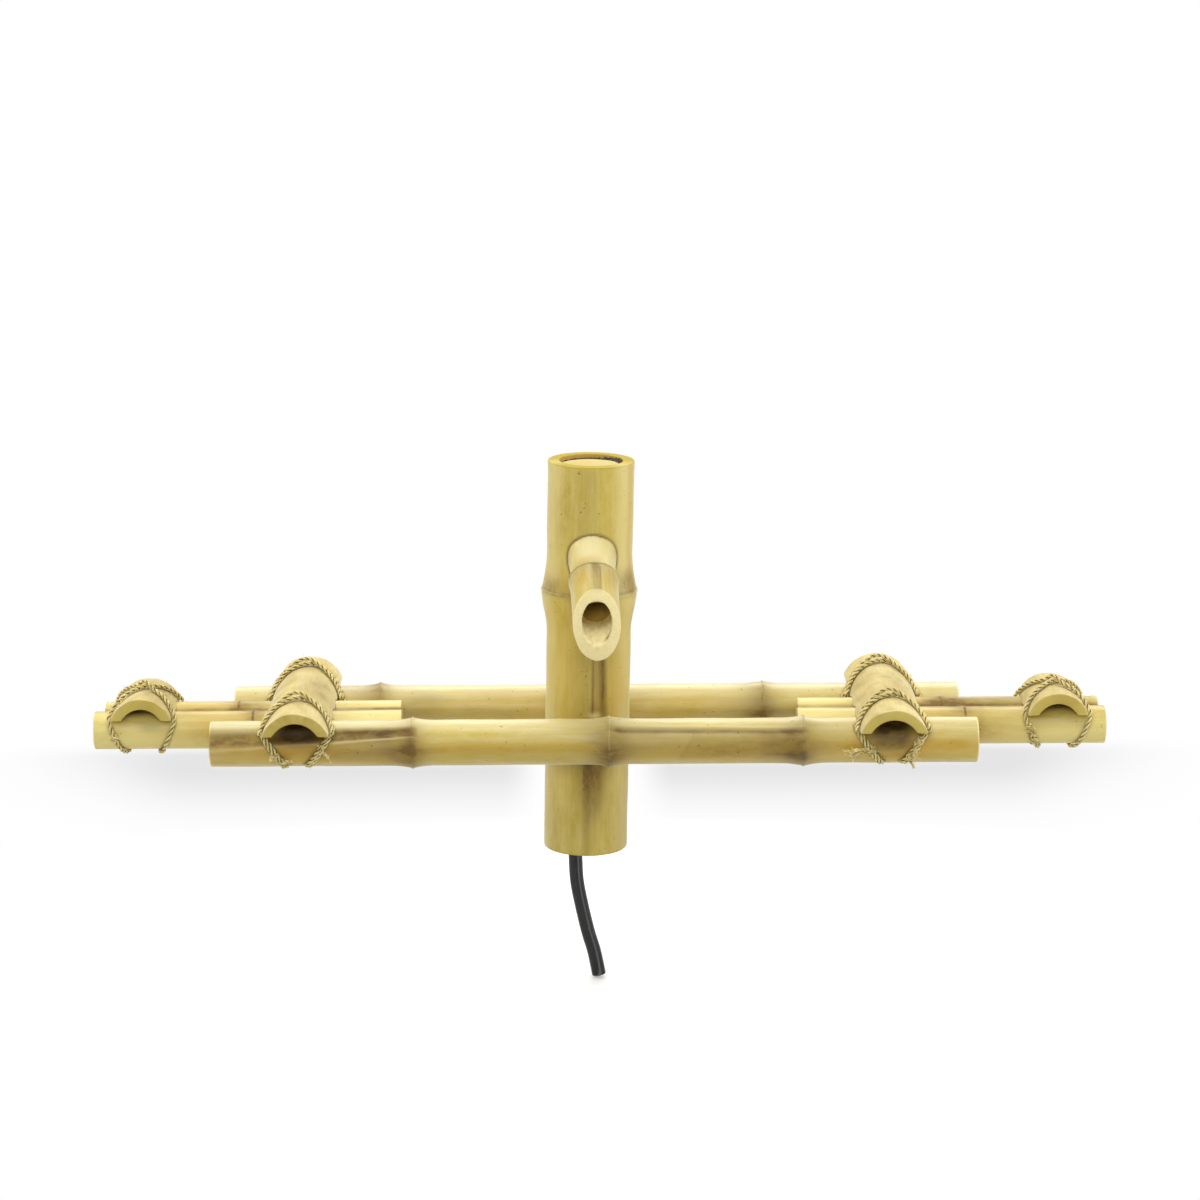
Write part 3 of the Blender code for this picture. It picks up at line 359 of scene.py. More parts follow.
def speck_effect(bench, given):
    grain = given["Grain"]
    swirl = bench.node("ShaderNodeTexNoise", {"Vector": grain, "Scale": 260.0}, "Color")
    bent = bench.vector("ADD", grain, bench.vector("MULTIPLY", swirl, (0.004, 0.004, 0.004)))
    dots = bench.wires(bench.make("ShaderNodeTexVoronoi", {"Vector": bent, "Scale": 230.0}))
    chance, size, _ = bench.apart(dots["Color"])
    near = bench.math("LESS_THAN", dots["Distance"], given["Speck Size"] * size)
    turned = bench.node("ShaderNodeVectorRotate", {"Vector": grain, "Angle": given["Scratch Turn"]},
                        rotation_type="Y_AXIS")
    lines = bench.node("ShaderNodeTexVoronoi", {
        "Vector": bench.vector("MULTIPLY", turned, (9.0, 620.0, 620.0)), "Scale": 1.0},
        "Distance", feature="DISTANCE_TO_EDGE")
    where = bench.fade(bench.noise(grain, 34.0, 1.0), 0.58, 0.76)
    return {"Specks": bench.fade(chance, 0.74, 0.80) * near,
            "Scratches": bench.fade(lines, 0.0, 0.14, 1.0, 0.0) * where}


def sawn_effect(bench, given):
    flat = bench.vector("MULTIPLY", given["Grain"], (0.15, 1.0, 1.0))
    pores = bench.node("ShaderNodeTexVoronoi", {"Vector": flat, "Scale": given["Pores"]},
                       "Distance")
    return {"Pore": bench.fade(pores, 0.16, 0.34, 1.0, 0.0),
            "Rough": bench.noise(flat, given["Pores"] * 0.5, 5.0, 0.7)}


FIBRES = node_group("bamboo fibres", {"Grain": "Vector", "Stretch": 9.0, "Fineness": 420.0},
                    fibre_effect)
CLOUDS = node_group("rind clouds", {"Grain": "Vector", "Size": 30.0, "Shift": 0.0}, cloud_effect)
SPECKS = node_group("specks and scratches",
                    {"Grain": "Vector", "Speck Size": 0.22, "Scratch Turn": 0.6}, speck_effect)
SAWN = node_group("sawn end", {"Grain": "Vector", "Pores": 900.0}, sawn_effect)
print("shader groups:", [group.name for group in (FIBRES, CLOUDS, SPECKS, SAWN)])

# %% [markdown]
# ## Bamboo material
#
# One recipe serves every bamboo surface with its own colours. Fibres and clouds vary the rind, and
# painted marks add brown stain at nodes, gold and dark patches, pale marks with painted highlights,
# and dirt with painted contact shade beside the twine. Gold and dark marks also paint shade under
# the half culms and in crevices. The sawn ends and the bores take over where the mesh says so. The
# marks are attributes because they sit where the real culm has its nodes and grooves.

# %% Bamboo recipe
STAIN = (0.185, 0.110, 0.024)
GOLD = (0.50, 0.315, 0.030)
DARK = (0.060, 0.034, 0.009)
PALE_END = (0.90, 0.79, 0.44)
SPECK = (0.10, 0.065, 0.02)


def cleared(holder):
    """A bench on the emptied node tree of a material or a world."""
    holder.use_nodes = True
    holder.node_tree.nodes.clear()
    return Bench(holder.node_tree)


def new_material(name, shader="ShaderNodeBsdfPrincipled"):
    material = bpy.data.materials.new(name)
    bench = cleared(material)
    surface = bench.make(shader)
    bench.make("ShaderNodeOutputMaterial", {0: Wire(bench, surface.outputs[0])})
    return material, bench, surface


def bamboo_material(name, colours, gloss, coat, stretch, fineness, cloud, shift, speck_size):
    """Colours of the rind (body, pale, deep), sawn faces and bore; gloss is its roughness."""
    material, bench, surface = new_material(name)
    body, pale, deep, cut, bore = colours
    grain = bench.attribute("grain")
    stain, gold, dark = bench.apart(bench.attribute("marks"))
    # touches holds dirt with painted contact shade beside the twine, then pale marks with painted
    # highlights
    dirt, light, _ = bench.apart(bench.attribute("touches"))
    is_cut, is_bore, _ = bench.apart(bench.attribute("kind"))
    fibres = bench.group(FIBRES, {"Grain": grain, "Stretch": stretch, "Fineness": fineness})
    clouds = bench.group(CLOUDS, {"Grain": grain, "Size": cloud, "Shift": shift})
    specks = bench.group(SPECKS, {"Grain": grain, "Speck Size": speck_size})
    sawn = bench.group(SAWN, {"Grain": grain})
    small, fine, broad = clouds["Small"], fibres["Fine"], fibres["Broad"]
    worn = small + broad * 0.7
    soft = bench.fade(worn, 0.0, 1.5, 0.66, 1.12)
    broken = bench.fade(worn, 0.0, 1.2, 0.82, 1.06)
    rind = bench.layers(
        body, (clouds["Large"], deep), (small * 0.38, pale), (broad * 0.42, pale),
        (fine * 0.40, deep), (light * 0.85, pale), ((gold * soft).held(), GOLD),
        ((stain * soft).held(), STAIN), ((dark * broken).held(), DARK),
        (specks["Scratches"] * 0.10, SPECK), (specks["Specks"] * 0.65, SPECK))
    end = bench.layers(
        cut, (sawn["Rough"] * 0.45, body), (sawn["Pore"] * 0.16, STAIN), (light * 0.4, PALE_END),
        (gold * 0.7, GOLD), (stain * 0.8, STAIN), (dark, DARK))
    hollow = bench.layers(bore, (small * 0.5, deep))
    bench.fill(surface, {"Base Color": bench.layers(rind, (is_cut, end), (is_bore, hollow),
                                                    (dirt, DARK))})

    rough = gloss + ((small - 0.5) * 0.14 + fine * 0.08) + stain * 0.10
    matt = bench.most(bench.most(is_cut, is_bore), dirt)
    marked = bench.most(stain, dark)
    if coat:
        bench.fill(surface, {"Coat Weight": (1.0 - matt) * coat * (1.0 - marked).held(),
                             "Coat Roughness": 0.32})
    dull = (is_cut * 0.75 + marked * 0.6).held()
    bloom = (1.0 - bench.most(matt, dark)).held()
    height = fine * 0.5 + broad * 0.35 - specks["Specks"] * 0.7 - specks["Scratches"] * 0.2
    height = (height * (1.0 - is_cut) + sawn["Rough"] * is_cut * 1.6 - sawn["Pore"] * is_cut * 0.8)
    bench.fill(surface, {
        "Roughness": bench.node("ShaderNodeMix", {0: matt, 2: rough, 3: 0.85}),
        "Specular IOR Level": bench.fade(dull, 0.0, 1.0, 0.45, 0.06),
        "Sheen Weight": bloom * 0.42, "Sheen Roughness": 0.36, "Sheen Tint": (1.0, 0.96, 0.80),
        "Normal": bench.bump(height, 0.5, 0.00022)})
    return material


# %% Bamboo colours
# The dark bore colours of the pole rind and the scraped half culm are painted shade inside them.
RINDS = {
    "post rind": (((0.500, 0.372, 0.042), (0.67, 0.550, 0.190), (0.425, 0.305, 0.036),
                   (0.425, 0.325, 0.058), (0.50, 0.31, 0.07)),
                  0.46, 0.14, 12.0, 330.0, 26.0, 0.37, 0.20),
    "pole rind": (((0.525, 0.400, 0.046), (0.69, 0.605, 0.315), (0.445, 0.325, 0.036),
                   (0.84, 0.73, 0.41), (0.34, 0.20, 0.025)),
                  0.42, 0.22, 10.0, 420.0, 24.0, 1.10, 0.20),
    "arm rind": (((0.60, 0.475, 0.096), (0.78, 0.66, 0.235), (0.48, 0.355, 0.055),
                  (0.68, 0.585, 0.29), (0.48, 0.34, 0.09)),
                 0.42, 0.25, 10.0, 480.0, 30.0, 2.30, 0.18),
    "scraped half culm": (((0.60, 0.485, 0.160), (0.72, 0.615, 0.28), (0.47, 0.345, 0.075),
                           (0.575, 0.45, 0.095), (0.20, 0.145, 0.040)),
                          0.66, 0.0, 7.0, 360.0, 42.0, 3.70, 0.16),
    "sawn bamboo": (((0.52, 0.43, 0.17), (0.72, 0.62, 0.34), (0.54, 0.42, 0.13),
                     (0.60, 0.495, 0.21), (0.50, 0.36, 0.11)),
                    0.70, 0.0, 3.0, 500.0, 60.0, 5.20, 0.15),
}
POST_RIND, POLE_RIND, ARM_RIND, SADDLE_RIND, SAWN_BAMBOO = (
    bamboo_material(name, *row) for name, row in RINDS.items())

# %% [markdown]
# ## Twine and hose materials
#
# The twine is straw, with painted shade in the gaps between its strands. Its `lay` attribute keeps
# the length along it, the place round a strand and how deep a point lies, so the gaps can be
# darkened as painted shade and the strand's own fibres drawn as slanted lines. The hose is glossy
# black vinyl with faint dust.


# %% Twine, fibre, residue and hose
def twine_material():
    material, bench, surface = new_material("twine")
    run, around, depth = bench.apart(bench.attribute("lay"))
    thread = bench.math("SINE", around * (6.2832 * 5.0) + run * 800.0) * 0.5 + 0.5
    hair = bench.patches(1500.0, 3.0, 0.7)
    straw = bench.layers(
        (0.70, 0.57, 0.20), (bench.patches(160.0, 4.0, 0.6), (0.86, 0.74, 0.36)),
        (hair * 0.25, (0.55, 0.42, 0.13)),
        (bench.fade(thread, 0.0, 0.4, 0.25, 0.0), (0.34, 0.23, 0.06)),
        # Painted shade: points that lie deep between the strands turn dark.
        (bench.fade(depth, 0.48, 0.77, 0.86, 0.0), (0.040, 0.023, 0.006)))
    bench.fill(surface, {"Base Color": straw, "Roughness": bench.fade(hair, 0.0, 1.0, 0.72, 0.9),
                         "Specular IOR Level": 0.25,
                         "Normal": bench.bump(thread * 0.7 + hair * 0.5, 0.8, 0.0003)})
    return material


def two_tone_material(name, patches, low, high, rough, relief=None):
    material, bench, surface = new_material(name)
    cloud = bench.patches(*patches)
    bench.fill(surface, {"Base Color": bench.layers(low, (cloud, high)),
                         "Roughness": bench.fade(cloud, 0.0, 1.0, *rough)})
    if relief:
        bench.fill(surface, {"Normal": bench.bump(cloud, 0.8, relief)})
    return material


def hose_material():
    material, bench, surface = new_material("black vinyl hose")
    dust = bench.fade(bench.noise(bench.coords(), 90.0, 5.0, 0.7), 0.55, 0.75)
    drawn = bench.vector("MULTIPLY", bench.coords(), (1.0, 1.0, 0.12))
    rub = bench.fade(bench.noise(drawn, 900.0, 2.0), 0.60, 0.72)
    black = bench.layers((0.0060, 0.0060, 0.0065), (dust * 0.35, (0.034, 0.033, 0.030)),
                         (rub * 0.25, (0.07, 0.07, 0.068)))
    bench.fill(surface, {"Base Color": black, "Roughness": dust * 0.16 + 0.17,
                         "Normal": bench.bump(rub, 0.15, 0.0002)})
    return material


TWINE = twine_material()
LOOSE_FIBRE = two_tone_material("loose fibre", (420.0, 3.0), (0.48, 0.36, 0.11),
                                (0.82, 0.70, 0.33), (0.65, 0.85))
# Near-black lumps darken the gap behind the top plug.
DARK_GAP_LUMPS = two_tone_material("old glue and bark crumbs", (700.0, 4.0, 0.65), (0.018, 0.012, 0.006),
                            (0.12, 0.075, 0.025), (0.55, 0.9), 0.0004)
BLACK_VINYL = hose_material()

# %% [markdown]
# ## Hose
#
# The hose comes out of the post's foot and ends in a square cut after 129 mm, as the photograph
# shows it from end to end. A bevelled curve would do for its outside, but its cut end shows a
# real bore, so a ring is swept along the route, over the lip and back inside.

# %% Routes
POST_LEAN = math.radians(1.1)
POST_PIVOT = 0.035
POST_FOOT = -0.0925
HOSE_RADIUS = 0.00635
HOSE_BORE = 0.0047
HOSE_EXIT = Vector((-0.01179, 0.0, -0.0898))
HOSE_TAIL_ROUTE = ((0.0000, 0.0000, 0.0000), (0.0002, -0.0003, -0.0152),
                   (0.0014, -0.0010, -0.0372), (0.0058, -0.0015, -0.0612),
                   (0.0112, -0.0015, -0.0852), (0.0166, -0.0010, -0.1042),
                   (0.0210, 0.0000, -0.1267))
HOSE_SPACING = 0.004


def run_of(route):
    """The length from a route's start to each of its points."""
    return np.concatenate(([0.0], np.cumsum(np.linalg.norm(np.diff(route, axis=0), axis=1))))


def smooth_route(route, spacing):
    """Even points on a Catmull-Rom curve through a route's own points."""
    knots = [Vector(p) for p in route]
    knots = [2 * knots[0] - knots[1]] + knots + [2 * knots[-1] - knots[-2]]
    fine = []
    for a, b, c, d in zip(knots, knots[1:], knots[2:], knots[3:]):
        for t in np.arange(0.0, 1.0, 1 / 24):
            fine.append(0.5 * (2 * b + (c - a) * t + (2 * a - 5 * b + 4 * c - d) * t * t
                               + (3 * b - a - 3 * c + d) * t ** 3))
    fine = np.array([list(p) for p in fine + [knots[-2]]])
    run = run_of(fine)
    wanted = np.linspace(0.0, run[-1], max(4, round(run[-1] / spacing)) + 1)
    return np.stack([np.interp(wanted, run, fine[:, k]) for k in range(3)], axis=1)


def frames_along(route):
    """At each point of a route, two directions across it that don't twist."""
    ways = np.gradient(route, axis=0)
    ways /= np.linalg.norm(ways, axis=1)[:, None]
    side = np.cross(ways[0], (0.31, 0.87, 0.38))
    sides = []
    for way in ways:
        side = side - way * (side @ way)
        side = side / np.linalg.norm(side)
        sides.append(side)
    return np.array(sides), np.cross(ways, sides)


def dress(piece, body, slot, *nodes):
    """Lets a piece ride on a body, in the place of the CAD nodes that it stands for."""
    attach(piece, body)
    if nodes:
        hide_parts(*nodes)
    return piece


# %% Hose pieces
HOSE_STEPS = 40
HOSE_LIP = 0.0005
HOSE_BORE_SHOWN = 0.030


def swept_hose(name, route):
    """A hose with an open bore at its far end: out along the route, then back inside."""
    sides, ups = frames_along(route)
    run = run_of(route)
    end = run[-1]
    stops = [(0.0, 0.0), (0.0, HOSE_RADIUS)] + [(d, HOSE_RADIUS) for d in run[1:-1]]
    stops += [(end - HOSE_LIP, HOSE_RADIUS), (end - HOSE_LIP * 0.3, HOSE_RADIUS - 0.0001),
              (end, HOSE_RADIUS - HOSE_LIP * 0.8), (end, HOSE_BORE + HOSE_LIP * 0.5),
              (end - HOSE_LIP, HOSE_BORE)]
    stops += [(end - depth, HOSE_BORE) for depth in np.linspace(0.003, HOSE_BORE_SHOWN, 8)]
    stops.append((end - HOSE_BORE_SHOWN, 0.0))
    points, faces = [], []
    for ring, (distance, radius) in enumerate(stops):
        centre, side, up = (np.array([np.interp(distance, run, rows[:, k]) for k in range(3)])
                            for rows in (route, sides, ups))
        for step in range(HOSE_STEPS):
            angle = 2 * math.pi * step / HOSE_STEPS
            points.append(centre + radius * (side * math.cos(angle) + up * math.sin(angle)))
            if ring:
                low, after = (ring - 1) * HOSE_STEPS, (step + 1) % HOSE_STEPS
                high = low + HOSE_STEPS
                faces.append((low + step, low + after, high + after, high + step))
    piece = new_piece(name, points, faces)
    outward(piece.data, merge=0.000002)
    smooth(piece.data, 50)
    piece.data.materials.append(BLACK_VINYL)
    return piece


tail_route = smooth_route([HOSE_EXIT + Vector(p) for p in HOSE_TAIL_ROUTE], HOSE_SPACING)
hose_tail = dress(swept_hose("hose_tail_shown", tail_route), "frame", "hose", "hose_tail")

# %% [markdown]
# The hose inside the post rises from the foot, bends through the post's wall and ends as a short
# nozzle. Only the nozzle shows, deep in the spout's bore, but the whole piece is made so that
# nothing ends in the air.

# %% Hose inside the post
SPOUT_SLOPE = math.radians(31.0)
SPOUT_YAW = math.radians(2.8)
SPOUT_HEIGHT = 0.1995
SPOUT_START = Vector(((SPOUT_HEIGHT - POST_PIVOT) * math.tan(POST_LEAN), 0.0, SPOUT_HEIGHT))
SPOUT_OUT = Vector((math.sin(SPOUT_YAW) * math.cos(SPOUT_SLOPE),
                    -math.cos(SPOUT_YAW) * math.cos(SPOUT_SLOPE), -math.sin(SPOUT_SLOPE)))
SPOUT_UP = SPOUT_OUT.cross(Vector((0, 0, 1))).normalized().cross(SPOUT_OUT)
HOSE_BEND = 0.025
HOSE_BACK = 0.019
NOZZLE_REACH = 0.0725


def supply_route():
    level = Vector((SPOUT_OUT.x, SPOUT_OUT.y, 0.0)).normalized()
    up = Vector((0.0, 0.0, 1.0))
    turn = math.pi / 2 + SPOUT_SLOPE
    end_back = HOSE_BACK - HOSE_BEND * (1 - math.cos(turn))
    riser = SPOUT_START - level * HOSE_BACK
    riser.z = SPOUT_START.z + end_back * math.tan(SPOUT_SLOPE) - HOSE_BEND * math.sin(turn)
    low = HOSE_EXIT + up * 0.0003
    route = [low, low + up * 0.03, low.lerp(riser, 0.5), riser - up * 0.05, riser - up * 0.012]
    route += [riser + level * HOSE_BEND * (1 - math.cos(a)) + up * HOSE_BEND * math.sin(a)
              for a in np.linspace(0.0, turn, 9)]
    return smooth_route(route + [SPOUT_START + SPOUT_OUT * NOZZLE_REACH], HOSE_SPACING)


dress(swept_hose("supply_hose_shown", supply_route()), "frame", "hose", "supply_hose")

# %% [markdown]
# ## Culms
#
# Every pole is a culm: a tube with nodes, where it swells and carries the thin scar of a leaf
# sheath. A screw modifier could turn an outline, but all culms obey the same rule, so one Geometry
# Nodes tree makes them. It reads an outline of rings, adds the swelling and the scar from each
# ring's distance to the nearest node, and wraps the rings around the axis.


# %% Tree that turns a culm
def named(bench, label):
    return bench.node("GeometryNodeInputNamedAttribute", {"Name": label})


def stored(bench, geometry, label, value):
    return bench.node("GeometryNodeStoreNamedAttribute", {
        "Geometry": geometry, "Name": label, "Value": value}, data_type="FLOAT")


def tree_end(bench, given, geometry):
    """Every tree ends alike: its material is set and its instances are made real."""
    painted = bench.node("GeometryNodeSetMaterial", {"Geometry": geometry,
                                                     "Material": given["Material"]})
    return {"Geometry": bench.node("GeometryNodeRealizeInstances", {"Geometry": painted})}


def culm_nodes(bench, given):
    outline, steps = given["Outline"], given["Steps Around"]
    rings = bench.node("GeometryNodeAttributeDomainSize", {0: outline})
    across = steps + 1.0
    grid = bench.node("GeometryNodeMeshGrid", {"Vertices X": rings, "Vertices Y": across})
    index = bench.node("GeometryNodeInputIndex")
    ring = bench.math("FLOOR", (index + 0.5) / across)

    def sample(kind, value):
        return bench.node("GeometryNodeSampleIndex", {0: outline, 1: value, "Index": ring},
                          data_type=kind, clamp=True)

    place = bench.apart(sample("FLOAT_VECTOR", bench.node("GeometryNodeInputPosition")))
    zone = sample("FLOAT", named(bench, "zone"))
    distance = sample("FLOAT", named(bench, "node_distance"))
    near = bench.most(0.0, 1.0 - distance / given["Node Reach"])
    far = bench.math("POWER", distance / given["Scar Width"], 2.0)
    swell = given["Node Swell"] * bench.math("POWER", near, 2.0)
    ridge = given["Scar Height"] * bench.math("EXPONENT", far * -1.0)
    radius = place[1] + bench.math("LESS_THAN", zone, 0.5) * (swell + ridge)
    angle = (index - ring * across) / steps * (2 * math.pi)
    spot = bench.node("ShaderNodeCombineXYZ", {0: place[0], 1: radius * bench.math("COSINE", angle),
                                               2: radius * bench.math("SINE", angle)})
    moved = bench.node("GeometryNodeSetPosition", {"Geometry": grid, "Position": spot})
    merged = bench.node("GeometryNodeMergeByDistance", {
        "Geometry": stored(bench, moved, "ring_zone", zone), "Distance": 0.000002})
    return tree_end(bench, given, merged)


CULM_TREE = node_group("turned culm", {
    "Outline": "Geometry", "Steps Around": 96, "Node Swell": 0.002, "Node Reach": 0.02,
    "Scar Height": 0.0004, "Scar Width": 0.0008, "Material": "Material"}, culm_nodes, "Geometry")

# %% [markdown]
# The outline of a culm has one row for each ring: its place along the axis, its plain radius, and
# its zone, which is rind, sawn face or bore. Rings stand close together at nodes and ends, where
# the shape changes, and further apart between them.

# %% Outline of a culm
RIND, SAWN_FACE, BORE = 0, 1, 2
NEAR_NODE = [s * 0.001 for s in (0, 0.3, 0.6, 0.9, 1.3, 1.8, 2.6, 3.6, 5.0, 7.0, 9.5, 12.5)]
LEAST_RING_GAP = 0.00022
END_ROUND = 0.0012
RING_SPACING = 0.0017


def ring_places(low, high, nodes, spacing):
    places = list(np.arange(low, high, spacing)) + [high]
    for node in nodes:
        places = [p for p in places if abs(p - node) > NEAR_NODE[-1]]
        places += [node + side * d for d in NEAR_NODE for side in (-1, 1)]
    chosen = []
    for place in sorted(p for p in places if low <= p <= high):
        if not chosen or place - chosen[-1] > LEAST_RING_GAP:
            chosen.append(place)
    return chosen


def culm_outline(span, radius_at, bore, nodes, end_round, depth):
    """Rings from the middle of the low bore's floor, round the outside, to the high bore's."""
    low, high = span

    def end(place, inward):
        outer = radius_at(place)
        rings = [(place + inward * depth, 0.0, BORE)]
        rings += [(place + inward * depth * s, bore, BORE) for s in (1.0, 0.7, 0.4, 0.2, 0.08)]
        rings += [(place + inward * 0.0004, bore, BORE), (place, bore + 0.0004, SAWN_FACE)]
        rings += [(place, bore + (outer - end_round - bore) * s, SAWN_FACE)
                  for s in (0.3, 0.55, 0.8, 1.0)]
        return rings + [(place + inward * end_round * (1 - math.cos(turn)),
                         outer - end_round * (1 - math.sin(turn)), SAWN_FACE)
                        for turn in (math.radians(25), math.radians(50))]

    middle = [(p, radius_at(p), RIND)
              for p in ring_places(low + end_round, high - end_round, nodes, RING_SPACING)]
    return end(low, 1) + middle + end(high, -1)[::-1]


def turned_culm(name, outline, nodes, steps, swell, reach, scar, material):
    rings = np.array(outline, float)
    piece = new_piece(name, [(p, r, 0.0) for p, r, _ in outline],
                      edges=[(i, i + 1) for i in range(len(outline) - 1)])
    keep(piece.data, "zone", rings[:, 2])
    keep(piece.data, "node_distance", np.min([np.abs(rings[:, 0] - n) for n in nodes], axis=0))
    mesh = run_tree(piece, CULM_TREE, {
        "Steps Around": steps, "Node Swell": swell, "Node Reach": reach,
        "Scar Height": scar[0], "Scar Width": scar[1], "Material": material})
    outward(mesh)
    return piece


# %% [markdown]
# A turned culm is too even to be bamboo. The next helpers push its points about: a culm is
# slightly oval, its rind waves, and above each bud it carries a long groove. The angle round a
# culm is counted from its side that faces the camera, upwards on a pole.


# %% Shaping
def angle_round(points):
    return np.arctan2(points[:, 2], -points[:, 1])


def turn_from(points, degrees):
    """How far round the culm each point lies from an angle, in radians."""
    return (angle_round(points) - np.radians(degrees) + math.pi) % (2 * math.pi) - math.pi


def bell(values, width=1.0):
    return np.exp(-(values / width) ** 2)


def toward(points, degrees, width):
    """1 on the side of a culm that lies at an angle, fading away from it."""
    return bell(turn_from(points, degrees), width)


def off_axis(points):
    return np.hypot(points[:, 1], points[:, 2])


def push_outward(points, amount):
    grow = 1.0 + amount / np.maximum(off_axis(points), 1e-9)
    return np.stack([points[:, 0], points[:, 1] * grow, points[:, 2] * grow], axis=1)


def natural(points, zone, radius, bore, seed, oval=0.008, wave=0.00022):
    """Makes a culm slightly oval and wavy, its sawn ends with it."""
    outer = np.clip((off_axis(points) - bore) / (radius - bore), 0.0, 1.0)
    outer[zone == BORE] = 0.0
    amount = oval * radius * np.cos(2 * (angle_round(points) - seed * 1.7)) + wave * ripple(
        points * (0.35, 1.0, 1.0), 0.02, seed)
    return push_outward(points, amount * outer)


class Groove:
    """A bud groove along a culm, from (place, angle, depth, width) to the same at its end."""

    def __init__(self, start, end, tail=0.015):
        self.start, self.end, self.tail = start, end, tail

    def measures(self, points):
        x, low, high = points[:, 0], self.start[0], self.end[0]
        share = np.clip((x - low) / (high - low), 0.0, 1.0)
        degrees, depth, width = (a + (b - a) * share for a, b in zip(self.start[1:], self.end[1:]))
        on = bell(np.maximum(np.maximum(low - x, x - high), 0.0), self.tail)
        return turn_from(points, degrees) * off_axis(points) / width, depth * on, on

    def carve(self, points, zone):
        across, depth, _ = self.measures(points)
        ridge = np.minimum(depth * 0.3, 0.00055)
        amount = depth * bell(across) - ridge * (bell(across + 1.9, 0.55)
                                                 + 0.5 * bell(across - 1.9, 0.6))
        return push_outward(points, np.where(zone == BORE, 0.0, -amount))


# %% Painting
def smudge(points, place, length, degrees, breadth, amount, seed=0):
    """A soft patch on a culm, with a ragged edge; breadth is in degrees."""
    ragged = ripple(points * (0.3, 1.0, 1.0), 0.022, seed) * 0.20
    along = (points[:, 0] - place) / length
    around = turn_from(points, degrees) / math.radians(breadth)
    return amount * np.exp(-np.maximum(along ** 2 + around ** 2 + ragged, 0.0) ** 1.2)


def band(points, low, high, soft, degrees, breadth, amount, seed=0):
    """An even tint between two places along a culm, with soft ends."""
    x = points[:, 0]
    ends = np.clip((x - low) / soft, 0.0, 1.0) * np.clip((high - x) / soft, 0.0, 1.0)
    around = turn_from(points, degrees) / math.radians(breadth)
    uneven = 0.84 + 0.16 * ripple(points * (0.25, 1.0, 1.0), 0.02, seed)
    return amount * ends * np.exp(-around ** 4) * uneven


def node_shade(points, node, before, after, amount, seed, side=0.0, spread=180.0):
    """Brown shade at a node: reach before and after it along the culm, strongest at one side."""
    along = points[:, 0] - node
    reach = np.where(along < 0, before, after)
    around = turn_from(points, side) / math.radians(spread)
    uneven = 0.72 + 0.28 * ripple(points * (0.2, 1.0, 1.0), 0.03, seed)
    return amount * np.exp(-(np.abs(along) / reach) ** 1.3) * bell(around) * uneven


def many(paint, points, *rows):
    """The sum of one kind of mark painted with several rows of values."""
    return sum(paint(points, *row) for row in rows)


# %% [markdown]
# ## Where the twine runs
#
# The twine's routes come before the bamboo, because the bamboo is darkened beside a rope with dirt
# and painted contact shade. Each inner lashing is one rope that goes twice over a half culm, crosses
# itself on top and runs down into two drilled holes. An outer lashing goes right round both poles
# of an arm and crosses in an X.

# %% Sizes that the lashings share
MAIN_POLES = {
    "front": {"y": -0.0578, "radius": 0.0200, "span": (-0.3332, 0.3444),
              "nodes": (-0.1546, 0.0186, 0.1903)},
    "rear": {"y": 0.0586, "radius": 0.0208, "span": (-0.3217, 0.3393),
             "nodes": (-0.1890, 0.1603)},
}
MAIN_WALL = 0.0070
ARM_RADIUS = 0.0167
ARM_Y = 0.0171
ARM_Z = 0.0220
ARM_POLES = {
    "left_front": {"y": -ARM_Y, "span": (-0.4405, -0.1661), "nodes": (-0.2986,)},
    "left_rear": {"y": ARM_Y, "span": (-0.4346, -0.1678), "nodes": (-0.3144,)},
    "right_front": {"y": -ARM_Y, "span": (0.1875, 0.4630), "nodes": (0.3373,)},
    "right_rear": {"y": ARM_Y, "span": (0.1897, 0.4609), "nodes": (0.3194,)},
}
INNER_SADDLES = {"left": -0.2562, "right": 0.2679}
INNER_ARCH = {"radius": 0.0315, "wall": 0.0090, "rise": 0.0205, "seat": 0.0364,
              "span": (-0.0950, 0.1030), "tilt": math.radians(0.787)}
OUTER_SADDLES = {"left": -0.3971, "right": 0.4189}
OUTER_ARCH = {"radius": 0.0284, "wall": 0.0093, "rise": 0.0195, "seat": 0.0361,
              "span": (-0.0385, 0.0395), "tilt": 0.0}
ROPE_RADIUS = 0.00185
ROPE_OFFSET = 0.00245
CROSS_LIFT = 0.0050
ARCH_POINTS = 25


def arch_centre(arch, y):
    """Height of the middle of a half culm's circle at a place along it."""
    lift = (y - MAIN_POLES["front"]["y"]) * math.tan(arch["tilt"])
    return arch["seat"] - (arch["radius"] - arch["rise"]) + lift


def arch_foot(arch):
    """Radius of the twine over a half culm, and the angle and place of its foot."""
    reach = arch["radius"] + ROPE_OFFSET
    foot = math.acos((arch["radius"] - arch["rise"]) / reach)
    return reach, foot, reach * math.sin(foot)


# %% Inner lashings
LEG_POINTS = 9
LEG_PITCH = 0.0027
LEG_SLACK = {False: 0.0, True: 0.0004}
STRAND_PITCH = 0.0053
STRAND_SPREAD = 0.0040
CROSS_SPREAD = 0.25
LASH_ENTRY = {"front": (-46.0, 0.0085, 1.0), "rear": (14.0, 0.0295, 2.5)}


def over_arch(x, pole, sign, lift):
    rope_arch, foot, _ = arch_foot(INNER_ARCH)
    y_top, y_foot = pole["y"] + 0.008, pole["y"] - 0.0198
    points = []
    for angle in np.linspace(-foot, foot, ARCH_POINTS):
        share = angle / foot
        spread = STRAND_PITCH * math.tanh(angle / CROSS_SPREAD) + STRAND_SPREAD * share ** 3
        y = y_top + (y_foot - y_top) * share * share + sign * spread / 2
        reach = rope_arch + lift * math.exp(-(angle / (1.35 * CROSS_SPREAD)) ** 2)
        points.append((x + reach * math.sin(angle), y,
                       arch_centre(INNER_ARCH, y) + reach * math.cos(angle)))
    return points


